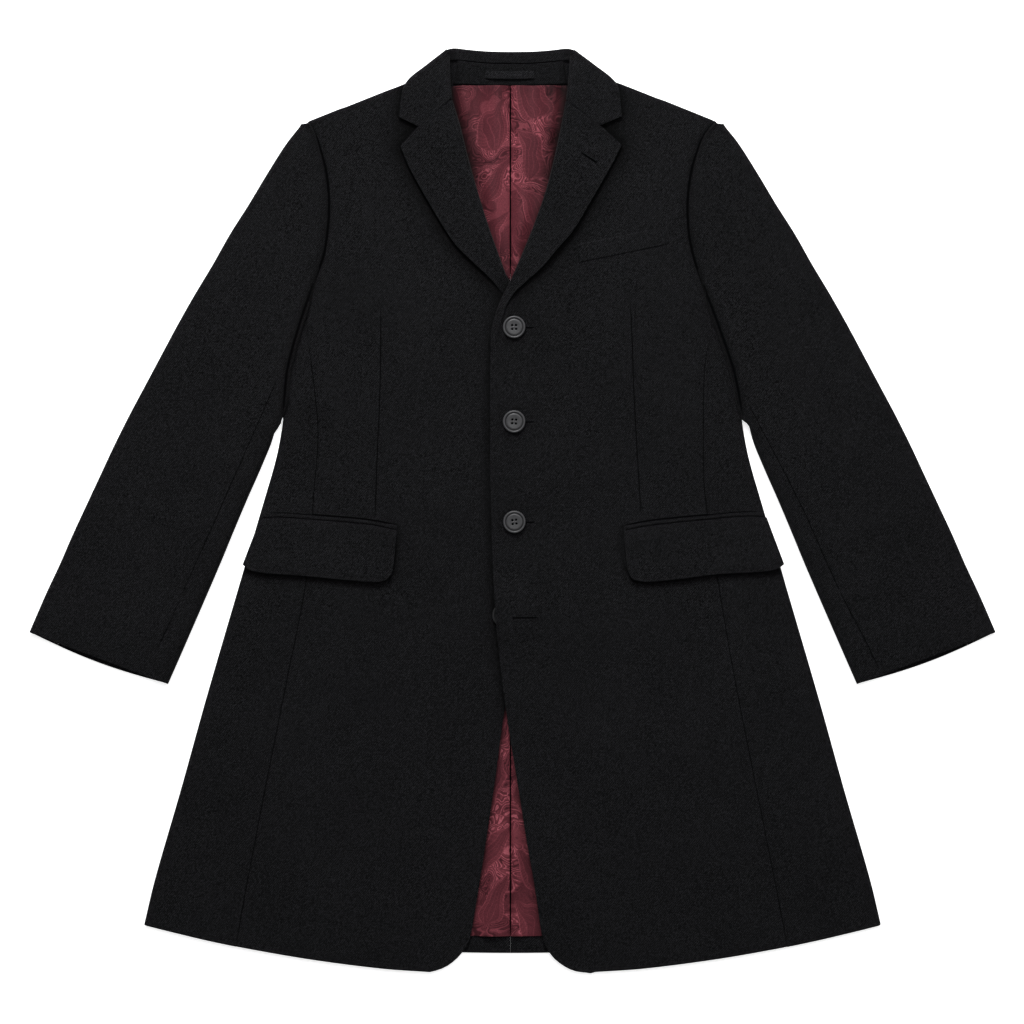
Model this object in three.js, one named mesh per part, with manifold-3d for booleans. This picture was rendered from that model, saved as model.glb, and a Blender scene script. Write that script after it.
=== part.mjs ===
// A long single-breasted wool coat laid flat on its back, in millimetres.
// +X is to the right of the view, +Y is towards the collar, +Z is up, and the surface it lies on is z = 0.
// Right and left are the wearer's, so the right front lies at negative x.
import * as THREE from "three";
import { mergeVertices } from "three/addons/utils/BufferGeometryUtils.js";
import Module from "manifold-3d";

const wasm = await Module();
wasm.setup();

// Driving dimensions
const cloth = 2.4; // wool with its interlining
const liningCloth = 1.2;
const seamGap = 0.3; // between pieces that are sewn or lie on each other
const buttonDiameter = 25.4; // a 40 ligne coat button
const buttonThickness = 4;
const buttonHole = 2.6;
const buttonHoleSpread = 4.6;
const centreX = -2.4; // the collar and the centre back seam lie a little to the wearer's right

// Heights of the middle of each layer, from the surface up
const half = cloth / 2;
const step = cloth + seamGap;
const backMiddle = half;
const liningMiddle = cloth + seamGap + liningCloth / 2;
const frontMiddle = cloth + seamGap + liningCloth + seamGap + half;
const turnedMiddle = frontMiddle + step;
const sleeveTop = 7.2;

const wool = new THREE.MeshStandardMaterial({ color: 0x17161a, roughness: 0.94, metalness: 0 });
const lining = new THREE.MeshStandardMaterial({ color: 0x66343d, roughness: 0.42, metalness: 0 });
const horn = new THREE.MeshStandardMaterial({ color: 0x55555a, roughness: 0.38, metalness: 0 });

// The side of the body below the underarm, the same on both sides
const bodySide = [
  { y: 104, x: 256.6 },
  { y: 89.6, x: 258.2 },
  { y: 56, x: 264.9 },
  { y: 5.6, x: 279.4 },
  { y: -78.4, x: 304.1 },
  { y: -212.8, x: 343.3 },
  { y: -313.6, x: 371.3 },
  { y: -414.4, x: 400.4 },
  { y: -470, x: 413.6 },
];

// The armhole, from the shoulder to the underarm, and the sleeve's edge that lies along it
const armhole = [
  { y: 434.6, right: 229, left: 228.6 },
  { y: 420, right: 220.6, left: 215 },
  { y: 405.7, right: 215.7, left: 208.2 },
  { y: 377.8, right: 208.2, left: 199.7 },
  { y: 342, right: 205, left: 195.7 },
  { y: 309.2, right: 207.1, left: 197.4 },
  { y: 283.5, right: 211.5, left: 202.4 },
  { y: 259.8, right: 220.1, left: 210.2 },
  { y: 206.3, right: 238.2, left: 229.9 },
  { y: 159.2, right: 251, left: 246.2 },
  { y: 131.4, right: 254.2, left: 252.4 },
  { y: 104, right: 256.6, left: 256.6 },
];

// The seam between front and side panel on the upper layer, and between back and side panel below
const sideSeam = [
  { y: 204, right: 231.2, left: 225.4 },
  { y: 174.2, right: 226.4, left: 216.8 },
  { y: 133.1, right: 221.3, left: 213.6 },
  { y: 82.8, right: 217.4, left: 213.4 },
  { y: 20, right: 222.1, left: 215 },
  { y: -78.4, right: 230.7, left: 229.6 },
  { y: -189.3, right: 252.1, left: 248.6 },
  { y: -336, right: 281.3, left: 277.6 },
  { y: -452.5, right: 303.3, left: 300.6 },
  { y: -500, right: 311, left: 309 },
];
const backSeam = [
  { y: 204, x: 214 },
  { y: 82.8, x: 196 },
  { y: -78.4, x: 214 },
  { y: -300, x: 250 },
  { y: -500, x: 284 },
];

// Heights at which every long edge has a corner, so that neighbours keep an even gap between them
const pit = 100;
const besideArm = [121, 158, 197];
const alongArmhole = [237, 277, 316, 354, 392, 424];
const tipHeight = 433.6;
const skirtRows = 14;

// The hem, as a height for each distance from the middle
const frontHem = [
  { x: 92.4, y: -516.7 },
  { x: 145, y: -513 },
  { x: 216.7, y: -504 },
  { x: 278.3, y: -493.9 },
  { x: 341, y: -481.6 },
  { x: 413.6, y: -464.4 },
];
const backHemMiddle = -495.9;
const backHemRise = 32;

// The front edges from the hem up to where the lapels turn back
const rightEdge = [
  { x: -92.4, y: -516.7 },
  { x: -81.3, y: -513.7 },
  { x: -70.2, y: -508.1 },
  { x: -58.1, y: -497.1 },
  { x: -50.3, y: -485 },
  { x: -47, y: -476 },
  { x: -40.3, y: -438.4 },
  { x: -31.5, y: -383 },
  { x: -19.4, y: -301.2 },
  { x: -8.7, y: -223.7 },
  { x: 2, y: -170 },
  { x: 12, y: -117 },
  { x: 24, y: -13 },
  { x: 26, y: 110 },
  { x: 24, y: 204 },
  { x: 12, y: 236 },
  { x: -3.4, y: 253 },
];
const leftEdge = [
  { x: 92.4, y: -516.7 },
  { x: 82.3, y: -517.4 },
  { x: 67, y: -514.8 },
  { x: 51.5, y: -505.9 },
  { x: 42.7, y: -497.1 },
  { x: 36.1, y: -485 },
  { x: 32.7, y: -473.8 },
  { x: 25, y: -422.9 },
  { x: 16.1, y: -371.8 },
  { x: 5, y: -301.2 },
  { x: -7.3, y: -223.7 },
  { x: -18.5, y: -123.2 },
  { x: -23.5, y: -13.4 },
  { x: -25, y: 124.9 },
  { x: -24, y: 180 },
  { x: -18.5, y: 213 },
  { x: -8, y: 240 },
  { x: 0.6, y: 259 },
];

// Where each lapel rolls back, from its lower end to the collar, and on up along the collar
const rightRoll = [
  { x: -4, y: 254 },
  { x: -16.4, y: 284.5 },
  { x: -30.9, y: 325.9 },
  { x: -50.7, y: 392.8 },
  { x: -60.4, y: 431.6 },
  { x: -68.4, y: 457.6 },
  { x: -70.8, y: 484 },
];
const leftRoll = [
  { x: -0.2, y: 257.6 },
  { x: 8.4, y: 278.3 },
  { x: 22.5, y: 312.5 },
  { x: 37.5, y: 355 },
  { x: 49.8, y: 403.6 },
  { x: 60, y: 455.8 },
  { x: 64, y: 484 },
];

// The free edges of the lapels from the lower end to the point, and their top edges along the notch
const rightLapelEdge = [
  { x: -11, y: 244 },
  { x: -24.4, y: 259.6 },
  { x: -42, y: 276 },
  { x: -62, y: 296 },
  { x: -77, y: 318 },
  { x: -102.1, y: 360.6 },
  { x: -115.4, y: 385.6 },
  { x: -124, y: 407.1 },
];
const leftLapelEdge = [
  { x: 1, y: 243 },
  { x: 11.8, y: 253.5 },
  { x: 33.2, y: 272.7 },
  { x: 48.9, y: 291.9 },
  { x: 66.6, y: 312.5 },
  { x: 88.3, y: 348.9 },
  { x: 108.9, y: 384.7 },
  { x: 120.6, y: 407.7 },
];
const rightLapelTop = [
  { x: -124, y: 407.1 },
  { x: -105.2, y: 427.9 },
  { x: -68.5, y: 458.2 },
];
const leftLapelTop = [
  { x: 120.6, y: 407.7 },
  { x: 97.8, y: 429 },
  { x: 60.8, y: 456.7 },
];

// The shoulder seam, from the neck to the armhole
const shoulderNeck = { x: 74, y: 495.4 };
const shoulderTip = { x: 229, y: 434.6 };

// The sleeve, a row for each section from the shoulder to the cuff: its outer fold, its inner edge, how far
// the front seam lies from that edge on each arm, and whether the inner edge is a fold or is sewn to the body.
// Above the underarm the inner edge is the armhole.
const sleeveSections = [
  { ox: 238, oy: 430.6, ix: 227, iy: 424, right: 0, left: 0, fold: 0 },
  { ox: 253.7, oy: 408.8, ix: 211.5, iy: 392, right: 0, left: 0, fold: 0 },
  { ox: 275, oy: 375.2, ix: 205.4, iy: 354, right: 0, left: 0, fold: 0 },
  { ox: 295.1, oy: 341.6, ix: 206.4, iy: 316, right: 0, left: 0, fold: 0 },
  { ox: 316.4, oy: 308, ix: 213.3, iy: 277, right: 0, left: 0, fold: 0 },
  { ox: 335.4, oy: 274.4, ix: 228.4, iy: 237, right: 0, left: 0, fold: 1 },
  { ox: 355.6, oy: 240.8, ix: 241, iy: 197, right: 0, left: 0, fold: 1 },
  { ox: 374.6, oy: 207.2, ix: 251.2, iy: 158, right: 0, left: 0, fold: 1 },
  { ox: 392.6, oy: 173.6, ix: 255.4, iy: 121, right: 8, left: 2, fold: 1 },
  { ox: 410.5, oy: 140, ix: 266, iy: 84, right: 16, left: 6, fold: 1 },
  { ox: 428.4, oy: 106.4, ix: 280.6, iy: 48, right: 21, left: 12, fold: 1 },
  { ox: 445.2, oy: 72.8, ix: 296, iy: 13, right: 22, left: 14, fold: 1 },
  { ox: 460.9, oy: 39.2, ix: 310.4, iy: -21, right: 22, left: 16, fold: 1 },
  { ox: 476.6, oy: 5.6, ix: 324.8, iy: -56, right: 23, left: 20, fold: 1 },
  { ox: 492.2, oy: -28, ix: 339.8, iy: -91, right: 25, left: 23, fold: 1 },
  { ox: 506.8, oy: -61.6, ix: 355, iy: -126, right: 26, left: 24, fold: 1 },
  { ox: 522.5, oy: -95.2, ix: 369.8, iy: -160, right: 27, left: 26, fold: 1 },
  { ox: 540.4, oy: -136.6, ix: 385, iy: -194.6, right: 28, left: 28, fold: 1 },
];
const backSeamInset = 34; // the sleeve's back seam, on the lower layer in from the outer fold
const armholeGap = 0.22; // on each side of the armhole seam
const cuffReach = 5; // the lower layer reaches this far past the upper one

// The hip pockets: the line where the flap hangs, and its lower edge
const rightFlapTop = [
  { x: 129.4, y: -22.8 },
  { x: 159.3, y: -17.1 },
  { x: 222.1, y: -11.5 },
  { x: 263, y: -8.8 },
  { x: 282, y: -9.9 },
];
const rightFlapBottom = [
  { x: 133.3, y: -63.4 },
  { x: 137, y: -74 },
  { x: 146.7, y: -79.7 },
  { x: 182.8, y: -78.3 },
  { x: 231.5, y: -73.6 },
  { x: 292, y: -67.6 },
  { x: 301.4, y: -61 },
];
const leftFlapTop = [
  { x: 124.6, y: -23.6 },
  { x: 150.9, y: -18.4 },
  { x: 212.2, y: -11.9 },
  { x: 262, y: -7.6 },
  { x: 284, y: -8.3 },
];
const leftFlapBottom = [
  { x: 128.7, y: -66.2 },
  { x: 134, y: -76.6 },
  { x: 146, y: -79.9 },
  { x: 182, y: -77.6 },
  { x: 226.6, y: -71.9 },
  { x: 294, y: -66.4 },
  { x: 303.5, y: -60.5 },
];
const jettingWidth = 5.6;
const jettingThickness = 1.6;

const breastWelt = { x: 128, y: 270.5, length: 103, height: 19, thickness: 2, slant: 0.17 };

const buttons = [
  { name: "button_1", x: 1.8, y: 204.3, level: 2 },
  { name: "button_2", x: 1.8, y: 98.8, level: 2 },
  { name: "button_3", x: 2.1, y: -13.3, level: 2 },
  { name: "button_4", x: -10.1, y: -117.6, level: 1 },
];

// Collar outline, as distances from its own middle
const collarLeafEdge = [
  { right: [-126, 438.7], left: [121.2, 439.6] },
  { right: [-120.8, 472], left: [116.6, 474] },
  { right: [-116.5, 481.6], left: [112.6, 481.6] },
  { right: [-96, 497.6], left: [92, 497.4] },
  { right: [-76.5, 512.6], left: [71, 512] },
];
const collarLeafFront = [
  { right: [-68.6, 459.2], left: [61, 457.6] },
  { right: [-105.6, 428.8], left: [98.2, 430] },
  { right: [-126, 438.7], left: [121.2, 439.6] },
];
const collarLeafRoll = [
  { right: [-68.6, 459.2], left: [61, 457.6] },
  { right: [-70.8, 484], left: [64, 484] },
  { right: [-71.5, 508], left: [65.6, 508] },
];
const foldMiddle = 510.2;
const collarFold = [
  { x: -74, y: 513.2 },
  { x: -50, y: 511.6 },
  { x: centreX, y: foldMiddle },
  { x: 45, y: 511.6 },
  { x: 69, y: 512.8 },
];
const standSeamDrop = 11.5; // from the fold at the top to the seam with the stand
const liningTop = 475.2; // where the stand meets the back lining
const fallHeight = 54; // the collar behind the neck, down from the fold

function smoothStep(value, from, to) {
  const t = Math.min(1, Math.max(0, (value - from) / (to - from)));
  return t * t * (3 - 2 * t);
}

// One column of a table at a place between its rows, through which the value runs smoothly
function read(rows, key, at, column) {
  const falling = rows[0][key] > rows[rows.length - 1][key];
  let i = 0;
  while (i < rows.length - 2 && (falling ? rows[i + 1][key] > at : rows[i + 1][key] < at)) i += 1;
  const span = rows[i + 1][key] - rows[i][key];
  const t = Math.min(1, Math.max(0, (at - rows[i][key]) / span));
  const slope = (k) => {
    const before = rows[Math.max(0, k - 1)];
    const after = rows[Math.min(rows.length - 1, k + 1)];
    return ((after[column] - before[column]) / (after[key] - before[key])) * span;
  };
  const a = rows[i][column];
  const b = rows[i + 1][column];
  const square = t * t;
  const cube = square * t;
  return (
    a * (2 * cube - 3 * square + 1) +
    b * (3 * square - 2 * cube) +
    slope(i) * (cube - 2 * square + t) +
    slope(i + 1) * (cube - square)
  );
}

// A smooth line through a table of points, read by the share of its length
function line(points) {
  const curve = new THREE.CatmullRomCurve3(
    points.map((p) => new THREE.Vector3(p.x, p.y, 0)),
    false,
    "centripetal",
  );
  curve.arcLengthDivisions = 400;
  return (share) => curve.getPointAt(Math.min(1, Math.max(0, share)));
}

// The same for corners that stay sharp
function cornered(points) {
  const path = new THREE.CurvePath();
  for (let i = 0; i + 1 < points.length; i += 1) {
    const a = new THREE.Vector3(points[i].x, points[i].y, 0);
    const b = new THREE.Vector3(points[i + 1].x, points[i + 1].y, 0);
    path.add(new THREE.LineCurve3(a, b));
  }
  return (share) => path.getPointAt(Math.min(1, Math.max(0, share)));
}

// A point inside four edges: the near and far edges run with u, the start and end edges with v
function inside(near, far, start, end) {
  return (u, v) => {
    const p = new THREE.Vector3();
    p.addScaledVector(near(u), 1 - v);
    p.addScaledVector(far(u), v);
    p.addScaledVector(start(v), 1 - u);
    p.addScaledVector(end(v), u);
    p.addScaledVector(near(0), -(1 - u) * (1 - v));
    p.addScaledVector(near(1), -u * (1 - v));
    p.addScaledVector(far(0), -(1 - u) * v);
    p.addScaledVector(far(1), -u * v);
    return p;
  };
}

// Even shares of a length, or shares gathered towards one end
function shares(count, gather = 1) {
  return Array.from({ length: count + 1 }, (unused, i) => Math.pow(i / count, gather));
}

// A closed wall of cloth around a middle surface that place(u, v) gives
function wall(us, vs, place, thickness) {
  const middle = us.map((u) => vs.map((v) => place(u, v)));
  const rows = us.length;
  const columns = vs.length;
  const positions = [];
  const at = (grid, i, j) => grid[Math.min(rows - 1, Math.max(0, i))][Math.min(columns - 1, Math.max(0, j))];
  for (const side of [1, -1]) {
    for (let i = 0; i < rows; i += 1) {
      for (let j = 0; j < columns; j += 1) {
        const alongU = at(middle, i + 1, j).clone().sub(at(middle, i - 1, j));
        const alongV = at(middle, i, j + 1).clone().sub(at(middle, i, j - 1));
        const normal = alongU.cross(alongV).normalize();
        const point = middle[i][j].clone().addScaledVector(normal, (side * thickness) / 2);
        positions.push(point.x, point.y, point.z);
      }
    }
  }
  const index = [];
  const layer = rows * columns;
  const quad = (a, b, c, d) => index.push(a, b, c, a, c, d);
  for (let i = 0; i + 1 < rows; i += 1) {
    for (let j = 0; j + 1 < columns; j += 1) {
      const k = i * columns + j;
      quad(k, k + columns, k + columns + 1, k + 1);
      quad(layer + k, layer + k + 1, layer + k + columns + 1, layer + k + columns);
    }
  }
  for (let i = 0; i + 1 < rows; i += 1) {
    const k = i * columns;
    const m = k + columns - 1;
    quad(k, layer + k, layer + k + columns, k + columns);
    quad(m, m + columns, layer + m + columns, layer + m);
  }
  for (let j = 0; j + 1 < columns; j += 1) {
    const m = (rows - 1) * columns + j;
    quad(j, j + 1, layer + j + 1, layer + j);
    quad(m, layer + m, layer + m + 1, m + 1);
  }
  return outward(positions, index);
}

// A geometry whose faces point out, whichever way its grid ran
function outward(positions, index) {
  let volume = 0;
  const p = (k) => new THREE.Vector3(positions[3 * k], positions[3 * k + 1], positions[3 * k + 2]);
  for (let i = 0; i < index.length; i += 3) {
    volume += p(index[i]).dot(p(index[i + 1]).cross(p(index[i + 2])));
  }
  const faces = volume < 0 ? index.slice().reverse() : index;
  const geometry = new THREE.BufferGeometry();
  geometry.setAttribute("position", new THREE.Float32BufferAttribute(positions, 3));
  geometry.setIndex(faces);
  return geometry;
}

function solid(geometry) {
  const bare = geometry.clone();
  bare.deleteAttribute("normal");
  bare.deleteAttribute("uv");
  const merged = mergeVertices(bare, 1e-4);
  return new wasm.Manifold(
    new wasm.Mesh({
      numProp: 3,
      vertProperties: merged.getAttribute("position").array,
      triVerts: new Uint32Array(merged.index.array),
    }),
  );
}

function geometryOf(manifold) {
  const mesh = manifold.getMesh();
  const geometry = new THREE.BufferGeometry();
  geometry.setAttribute("position", new THREE.BufferAttribute(mesh.vertProperties, 3));
  geometry.setIndex(new THREE.BufferAttribute(mesh.triVerts, 1));
  return geometry;
}

// Solids that overlap, made one; a sliver that is shut in where they meet is filled
function joined(...geometries) {
  const whole = geometries.map(solid).reduce((sum, next) => sum.add(next));
  const shells = whole.decompose().sort((a, b) => b.volume() - a.volume());
  return geometryOf(shells[0]);
}

const coat = new THREE.Group();

function addPiece(name, geometry, material) {
  geometry.computeVertexNormals();
  const mesh = new THREE.Mesh(geometry, material);
  mesh.name = name;
  coat.add(mesh);
}

// Heights

// The left front climbs over the right front's hidden edge, and over the unfastened button
function overlapLift(x, y) {
  const hidden = y > 0 ? 26 : read(rightEdge.slice(6, 15), "y", Math.max(-438, y), "x");
  const low = 1 - smoothStep(y, 268, 304);
  return step * (1 - smoothStep(x, hidden + 10, hidden + 36)) * low;
}
function buttonLift(x, y) {
  const loose = buttons[3];
  const distance = Math.hypot(x - loose.x, y - loose.y);
  return (buttonThickness + 5 * seamGap) * (1 - smoothStep(distance, 22, 56));
}
function frontHeight(side, x, y) {
  return side < 0 ? frontMiddle : frontMiddle + overlapLift(x, y) + buttonLift(x, y);
}

// The side edges of the back and the fronts: a seam up to the underarm and the armhole above
function armholeAt(side, y) {
  return read(armhole, "y", Math.max(pit, y), side < 0 ? "right" : "left");
}
function frontSeam(side, y) {
  return read(sideSeam, "y", Math.min(besideArm[2], y), side < 0 ? "right" : "left");
}
function backSeamAt(y) {
  return read(backSeam, "y", Math.min(besideArm[2], y), "x");
}
function frontSide(side, y) {
  return y > besideArm[2] + 1 ? armholeAt(side, y) - armholeGap : frontSeam(side, y) - seamGap / 2;
}
function backSide(side, y) {
  return y > besideArm[2] + 1 ? armholeAt(side, y) - armholeGap : backSeamAt(y) - seamGap / 2;
}
function seamHeights(hem) {
  const skirt = Array.from({ length: skirtRows + 1 }, (unused, i) => hem + ((pit - hem) * i) / skirtRows);
  return [...skirt, ...besideArm];
}

// An edge given as a distance from the middle at each of a list of heights
function stationed(heights, distance, side) {
  return (share) => {
    const at = share * (heights.length - 1);
    const i = Math.min(heights.length - 2, Math.floor(at));
    const y = heights[i] + (heights[i + 1] - heights[i]) * (at - i);
    return new THREE.Vector3(side * distance(y), y, 0);
  };
}
function across(from, to, height) {
  return (share) => {
    const x = from + (to - from) * share;
    return new THREE.Vector3(x, height(x), 0);
  };
}

// Back, with a seam down the middle; at the neck it ends below the collar's fall
function backHem(x) {
  const share = Math.abs(x - centreX) / 412;
  return backHemMiddle + backHemRise * share * share;
}
const backHemSide = -481;
const frontHemSide = -488;
function addBack(side, name) {
  const middle = centreX + (side * seamGap) / 2;
  const near = across(middle, side * backSide(side, backHemSide), (x) =>
    backHem(x) + (backHemSide - backHem(side * backSide(side, backHemSide))) * Math.abs(x / 281),
  );
  const heights = [...seamHeights(backHemSide), ...alongArmhole, tipHeight];
  const end = stationed(heights, (y) => backSide(side, y), side);
  const neck = foldMiddle - fallHeight - 2;
  const far = cornered([
    { x: middle, y: neck },
    { x: side * 70, y: neck },
    { x: side * 119.8, y: neck + 3 },
    { x: side * 124, y: shoulderHeight(124) - 6 },
    { x: end(1).x, y: end(1).y },
  ]);
  const start = (share) => new THREE.Vector3(middle, near(0).y + (neck - near(0).y) * share, 0);
  const plan = inside(near, far, start, end);
  const place = (u, v) => {
    const p = plan(u, v);
    p.z = backMiddle;
    return p;
  };
  addPiece(name, wall(shares(6), shares(heights.length - 1), place, cloth), wool);
}

// Back lining, which shows at the neck and between the parted skirts
function addBackLining(side, name) {
  const middle = centreX + (side * seamGap) / 2;
  const aboveHem = 19;
  const edge = 14;
  const near = across(middle, side * (backSeamAt(backHemSide) - edge), (x) => backHem(x) + aboveHem);
  const heights = [near(1).y, pit, besideArm[2], alongArmhole[1], 400];
  const end = stationed(heights, (y) => backSide(side, y) - edge, side);
  const neck = liningTop - seamGap;
  const far = cornered([
    { x: middle, y: neck },
    { x: side * 60, y: neck },
    { x: side * 96, y: neck - 6 },
    { x: end(1).x, y: end(1).y },
  ]);
  const start = (share) => new THREE.Vector3(middle, near(0).y + (neck - near(0).y) * share, 0);
  const plan = inside(near, far, start, end);
  const place = (u, v) => {
    const p = plan(u, v);
    p.z = liningMiddle;
    return p;
  };
  addPiece(name, wall(shares(6), shares(12), place, liningCloth), lining);
}

// Front, from the hem to the shoulder, its inner edge just inside the roll of the lapel
const rollInset = 6;
function shoulderHeight(x) {
  const fall = (shoulderNeck.y - shoulderTip.y) / (shoulderTip.x - shoulderNeck.x);
  return shoulderNeck.y - (Math.abs(x) - shoulderNeck.x) * fall;
}
function addFront(side, name) {
  const edge = side < 0 ? rightEdge : leftEdge;
  const roll = side < 0 ? rightRoll : leftRoll;
  const insetRoll = roll.slice(1).map((p) => ({ x: p.x + side * rollInset, y: p.y }));
  const start = line([...edge.slice(0, -1), ...insetRoll]);
  const near = across(start(0).x, side * frontSide(side, frontHemSide), (x) =>
    read(frontHem, "x", Math.abs(x), "y"),
  );
  const heights = [...seamHeights(near(1).y), ...alongArmhole, tipHeight];
  const end = stationed(heights, (y) => frontSide(side, y), side);
  const far = cornered([
    { x: start(1).x, y: start(1).y },
    { x: side * (shoulderNeck.x + 4), y: shoulderNeck.y - 1.6 },
    { x: end(1).x, y: end(1).y },
  ]);
  const plan = inside(near, far, start, end);
  const turn = frontMiddle - cloth - 5 * seamGap;
  const place = (u, v) => {
    const p = plan(u, v);
    const below = Math.max(0, shoulderHeight(p.x) - p.y - half);
    const over = Math.max(0, 1 - below / turn);
    p.z = frontHeight(side, p.x, p.y) - turn * (1 - Math.sqrt(1 - Math.min(1, over * over)));
    return p;
  };
  const count = heights.length - 1;
  const lastRow = heights[count] - heights[count - 1];
  const rows = shares(count).slice(0, -1);
  const turned = [turn, turn * 0.4, turn * 0.1, 0].map((d) => 1 - d / lastRow / count);
  addPiece(name, wall(shares(13, 1.15), [...rows, ...turned], place, cloth), wool);
}

// Side panel, which wraps round the side from the front seam above to the back seam below
function addSidePanel(side, name) {
  const radius = (frontMiddle - backMiddle) / 2;
  const columns = [
    ...shares(3).map((share) => ({ part: 0, share })),
    ...shares(4).slice(1).map((share) => ({ part: 1, share })),
    ...shares(2).slice(1).map((share) => ({ part: 2, share })),
  ];
  const section = (y, column) => {
    const outer = read(bodySide, "y", y, "x") - half - radius;
    const seam = frontSeam(side, y) + seamGap / 2;
    const back = backSeamAt(y) + seamGap / 2;
    if (column.part === 0) return { x: seam + (outer - seam) * column.share, z: frontMiddle };
    if (column.part === 2) return { x: outer + (back - outer) * column.share, z: backMiddle };
    const angle = Math.PI * column.share;
    return { x: outer + radius * Math.sin(angle), z: frontMiddle - radius * (1 - Math.cos(angle)) };
  };
  const frontHemAt = read(frontHem, "x", frontSide(side, frontHemSide), "y");
  const hemOf = (column) => {
    const x = section(-478, column).x;
    const above = column.part === 0 && column.share === 0 ? frontHemAt : read(frontHem, "x", x, "y");
    const below = column.part === 2 && column.share === 1 ? backHemSide : backHem(side * x);
    const share = column.part === 0 ? 0 : column.part === 2 ? 1 : column.share;
    return above + (below - above) * share;
  };
  const hems = columns.map(hemOf);
  const place = (u, v) => {
    const y = pit + (hems[u] - pit) * v;
    const at = section(y, columns[u]);
    return new THREE.Vector3(side * at.x, y, at.z);
  };
  const numbers = columns.map((unused, i) => i);
  const main = wall(numbers, shares(skirtRows), place, cloth);
  // Beside the armhole the panel goes on as a narrow strip above and a wider one below
  const heights = [pit, ...besideArm];
  const strip = (seam, z) => {
    const at = (u, v) => {
      const from = seam(heights[v]) + seamGap / 2;
      const to = Math.max(from + 1.5, armholeAt(side, heights[v]) - armholeGap);
      const under = v === 0 ? 3 : 0;
      return new THREE.Vector3(side * (from + (to - from) * u), heights[v] - under, z);
    };
    return wall(shares(1), [0, 1, 2, 3], at, cloth);
  };
  const front = strip((y) => frontSeam(side, y), frontMiddle);
  const back = strip(backSeamAt, backMiddle);
  addPiece(name, joined(main, front, back), wool);
}

// Lapel: it lies on the front, swells towards the roll and turns down round the front's edge
function addLapel(side, name) {
  const roll = side < 0 ? rightRoll : leftRoll;
  const near = line(side < 0 ? rightLapelEdge : leftLapelEdge);
  const far = line(roll.slice(0, -1));
  const top = cornered(side < 0 ? rightLapelTop : leftLapelTop);
  const bottom = cornered([near(0), far(0)]);
  const plan = inside(near, far, bottom, top);
  const swell = 1.3;
  const turned = { 0.96: 0.2, 1: 1, 2: 3 }; // how far the rolled edge has come down
  const place = (u, v) => {
    const p = plan(u, Math.min(v, 1));
    const lift = swell * smoothStep(v, 0.35, 1) * smoothStep(u, 0, 0.3);
    const overRight = side < 0 ? 0 : step * (1 - smoothStep(p.y, 280, 330));
    p.x += v >= 1 ? side * half : 0;
    p.z = turnedMiddle + overRight + lift - (turned[v] ?? 0) * smoothStep(u, 0.08, 0.3);
    return p;
  };
  addPiece(name, wall(shares(11), [0, 0.25, 0.5, 0.7, 0.86, 0.96, 1, 2], place, cloth), wool);
}

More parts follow.
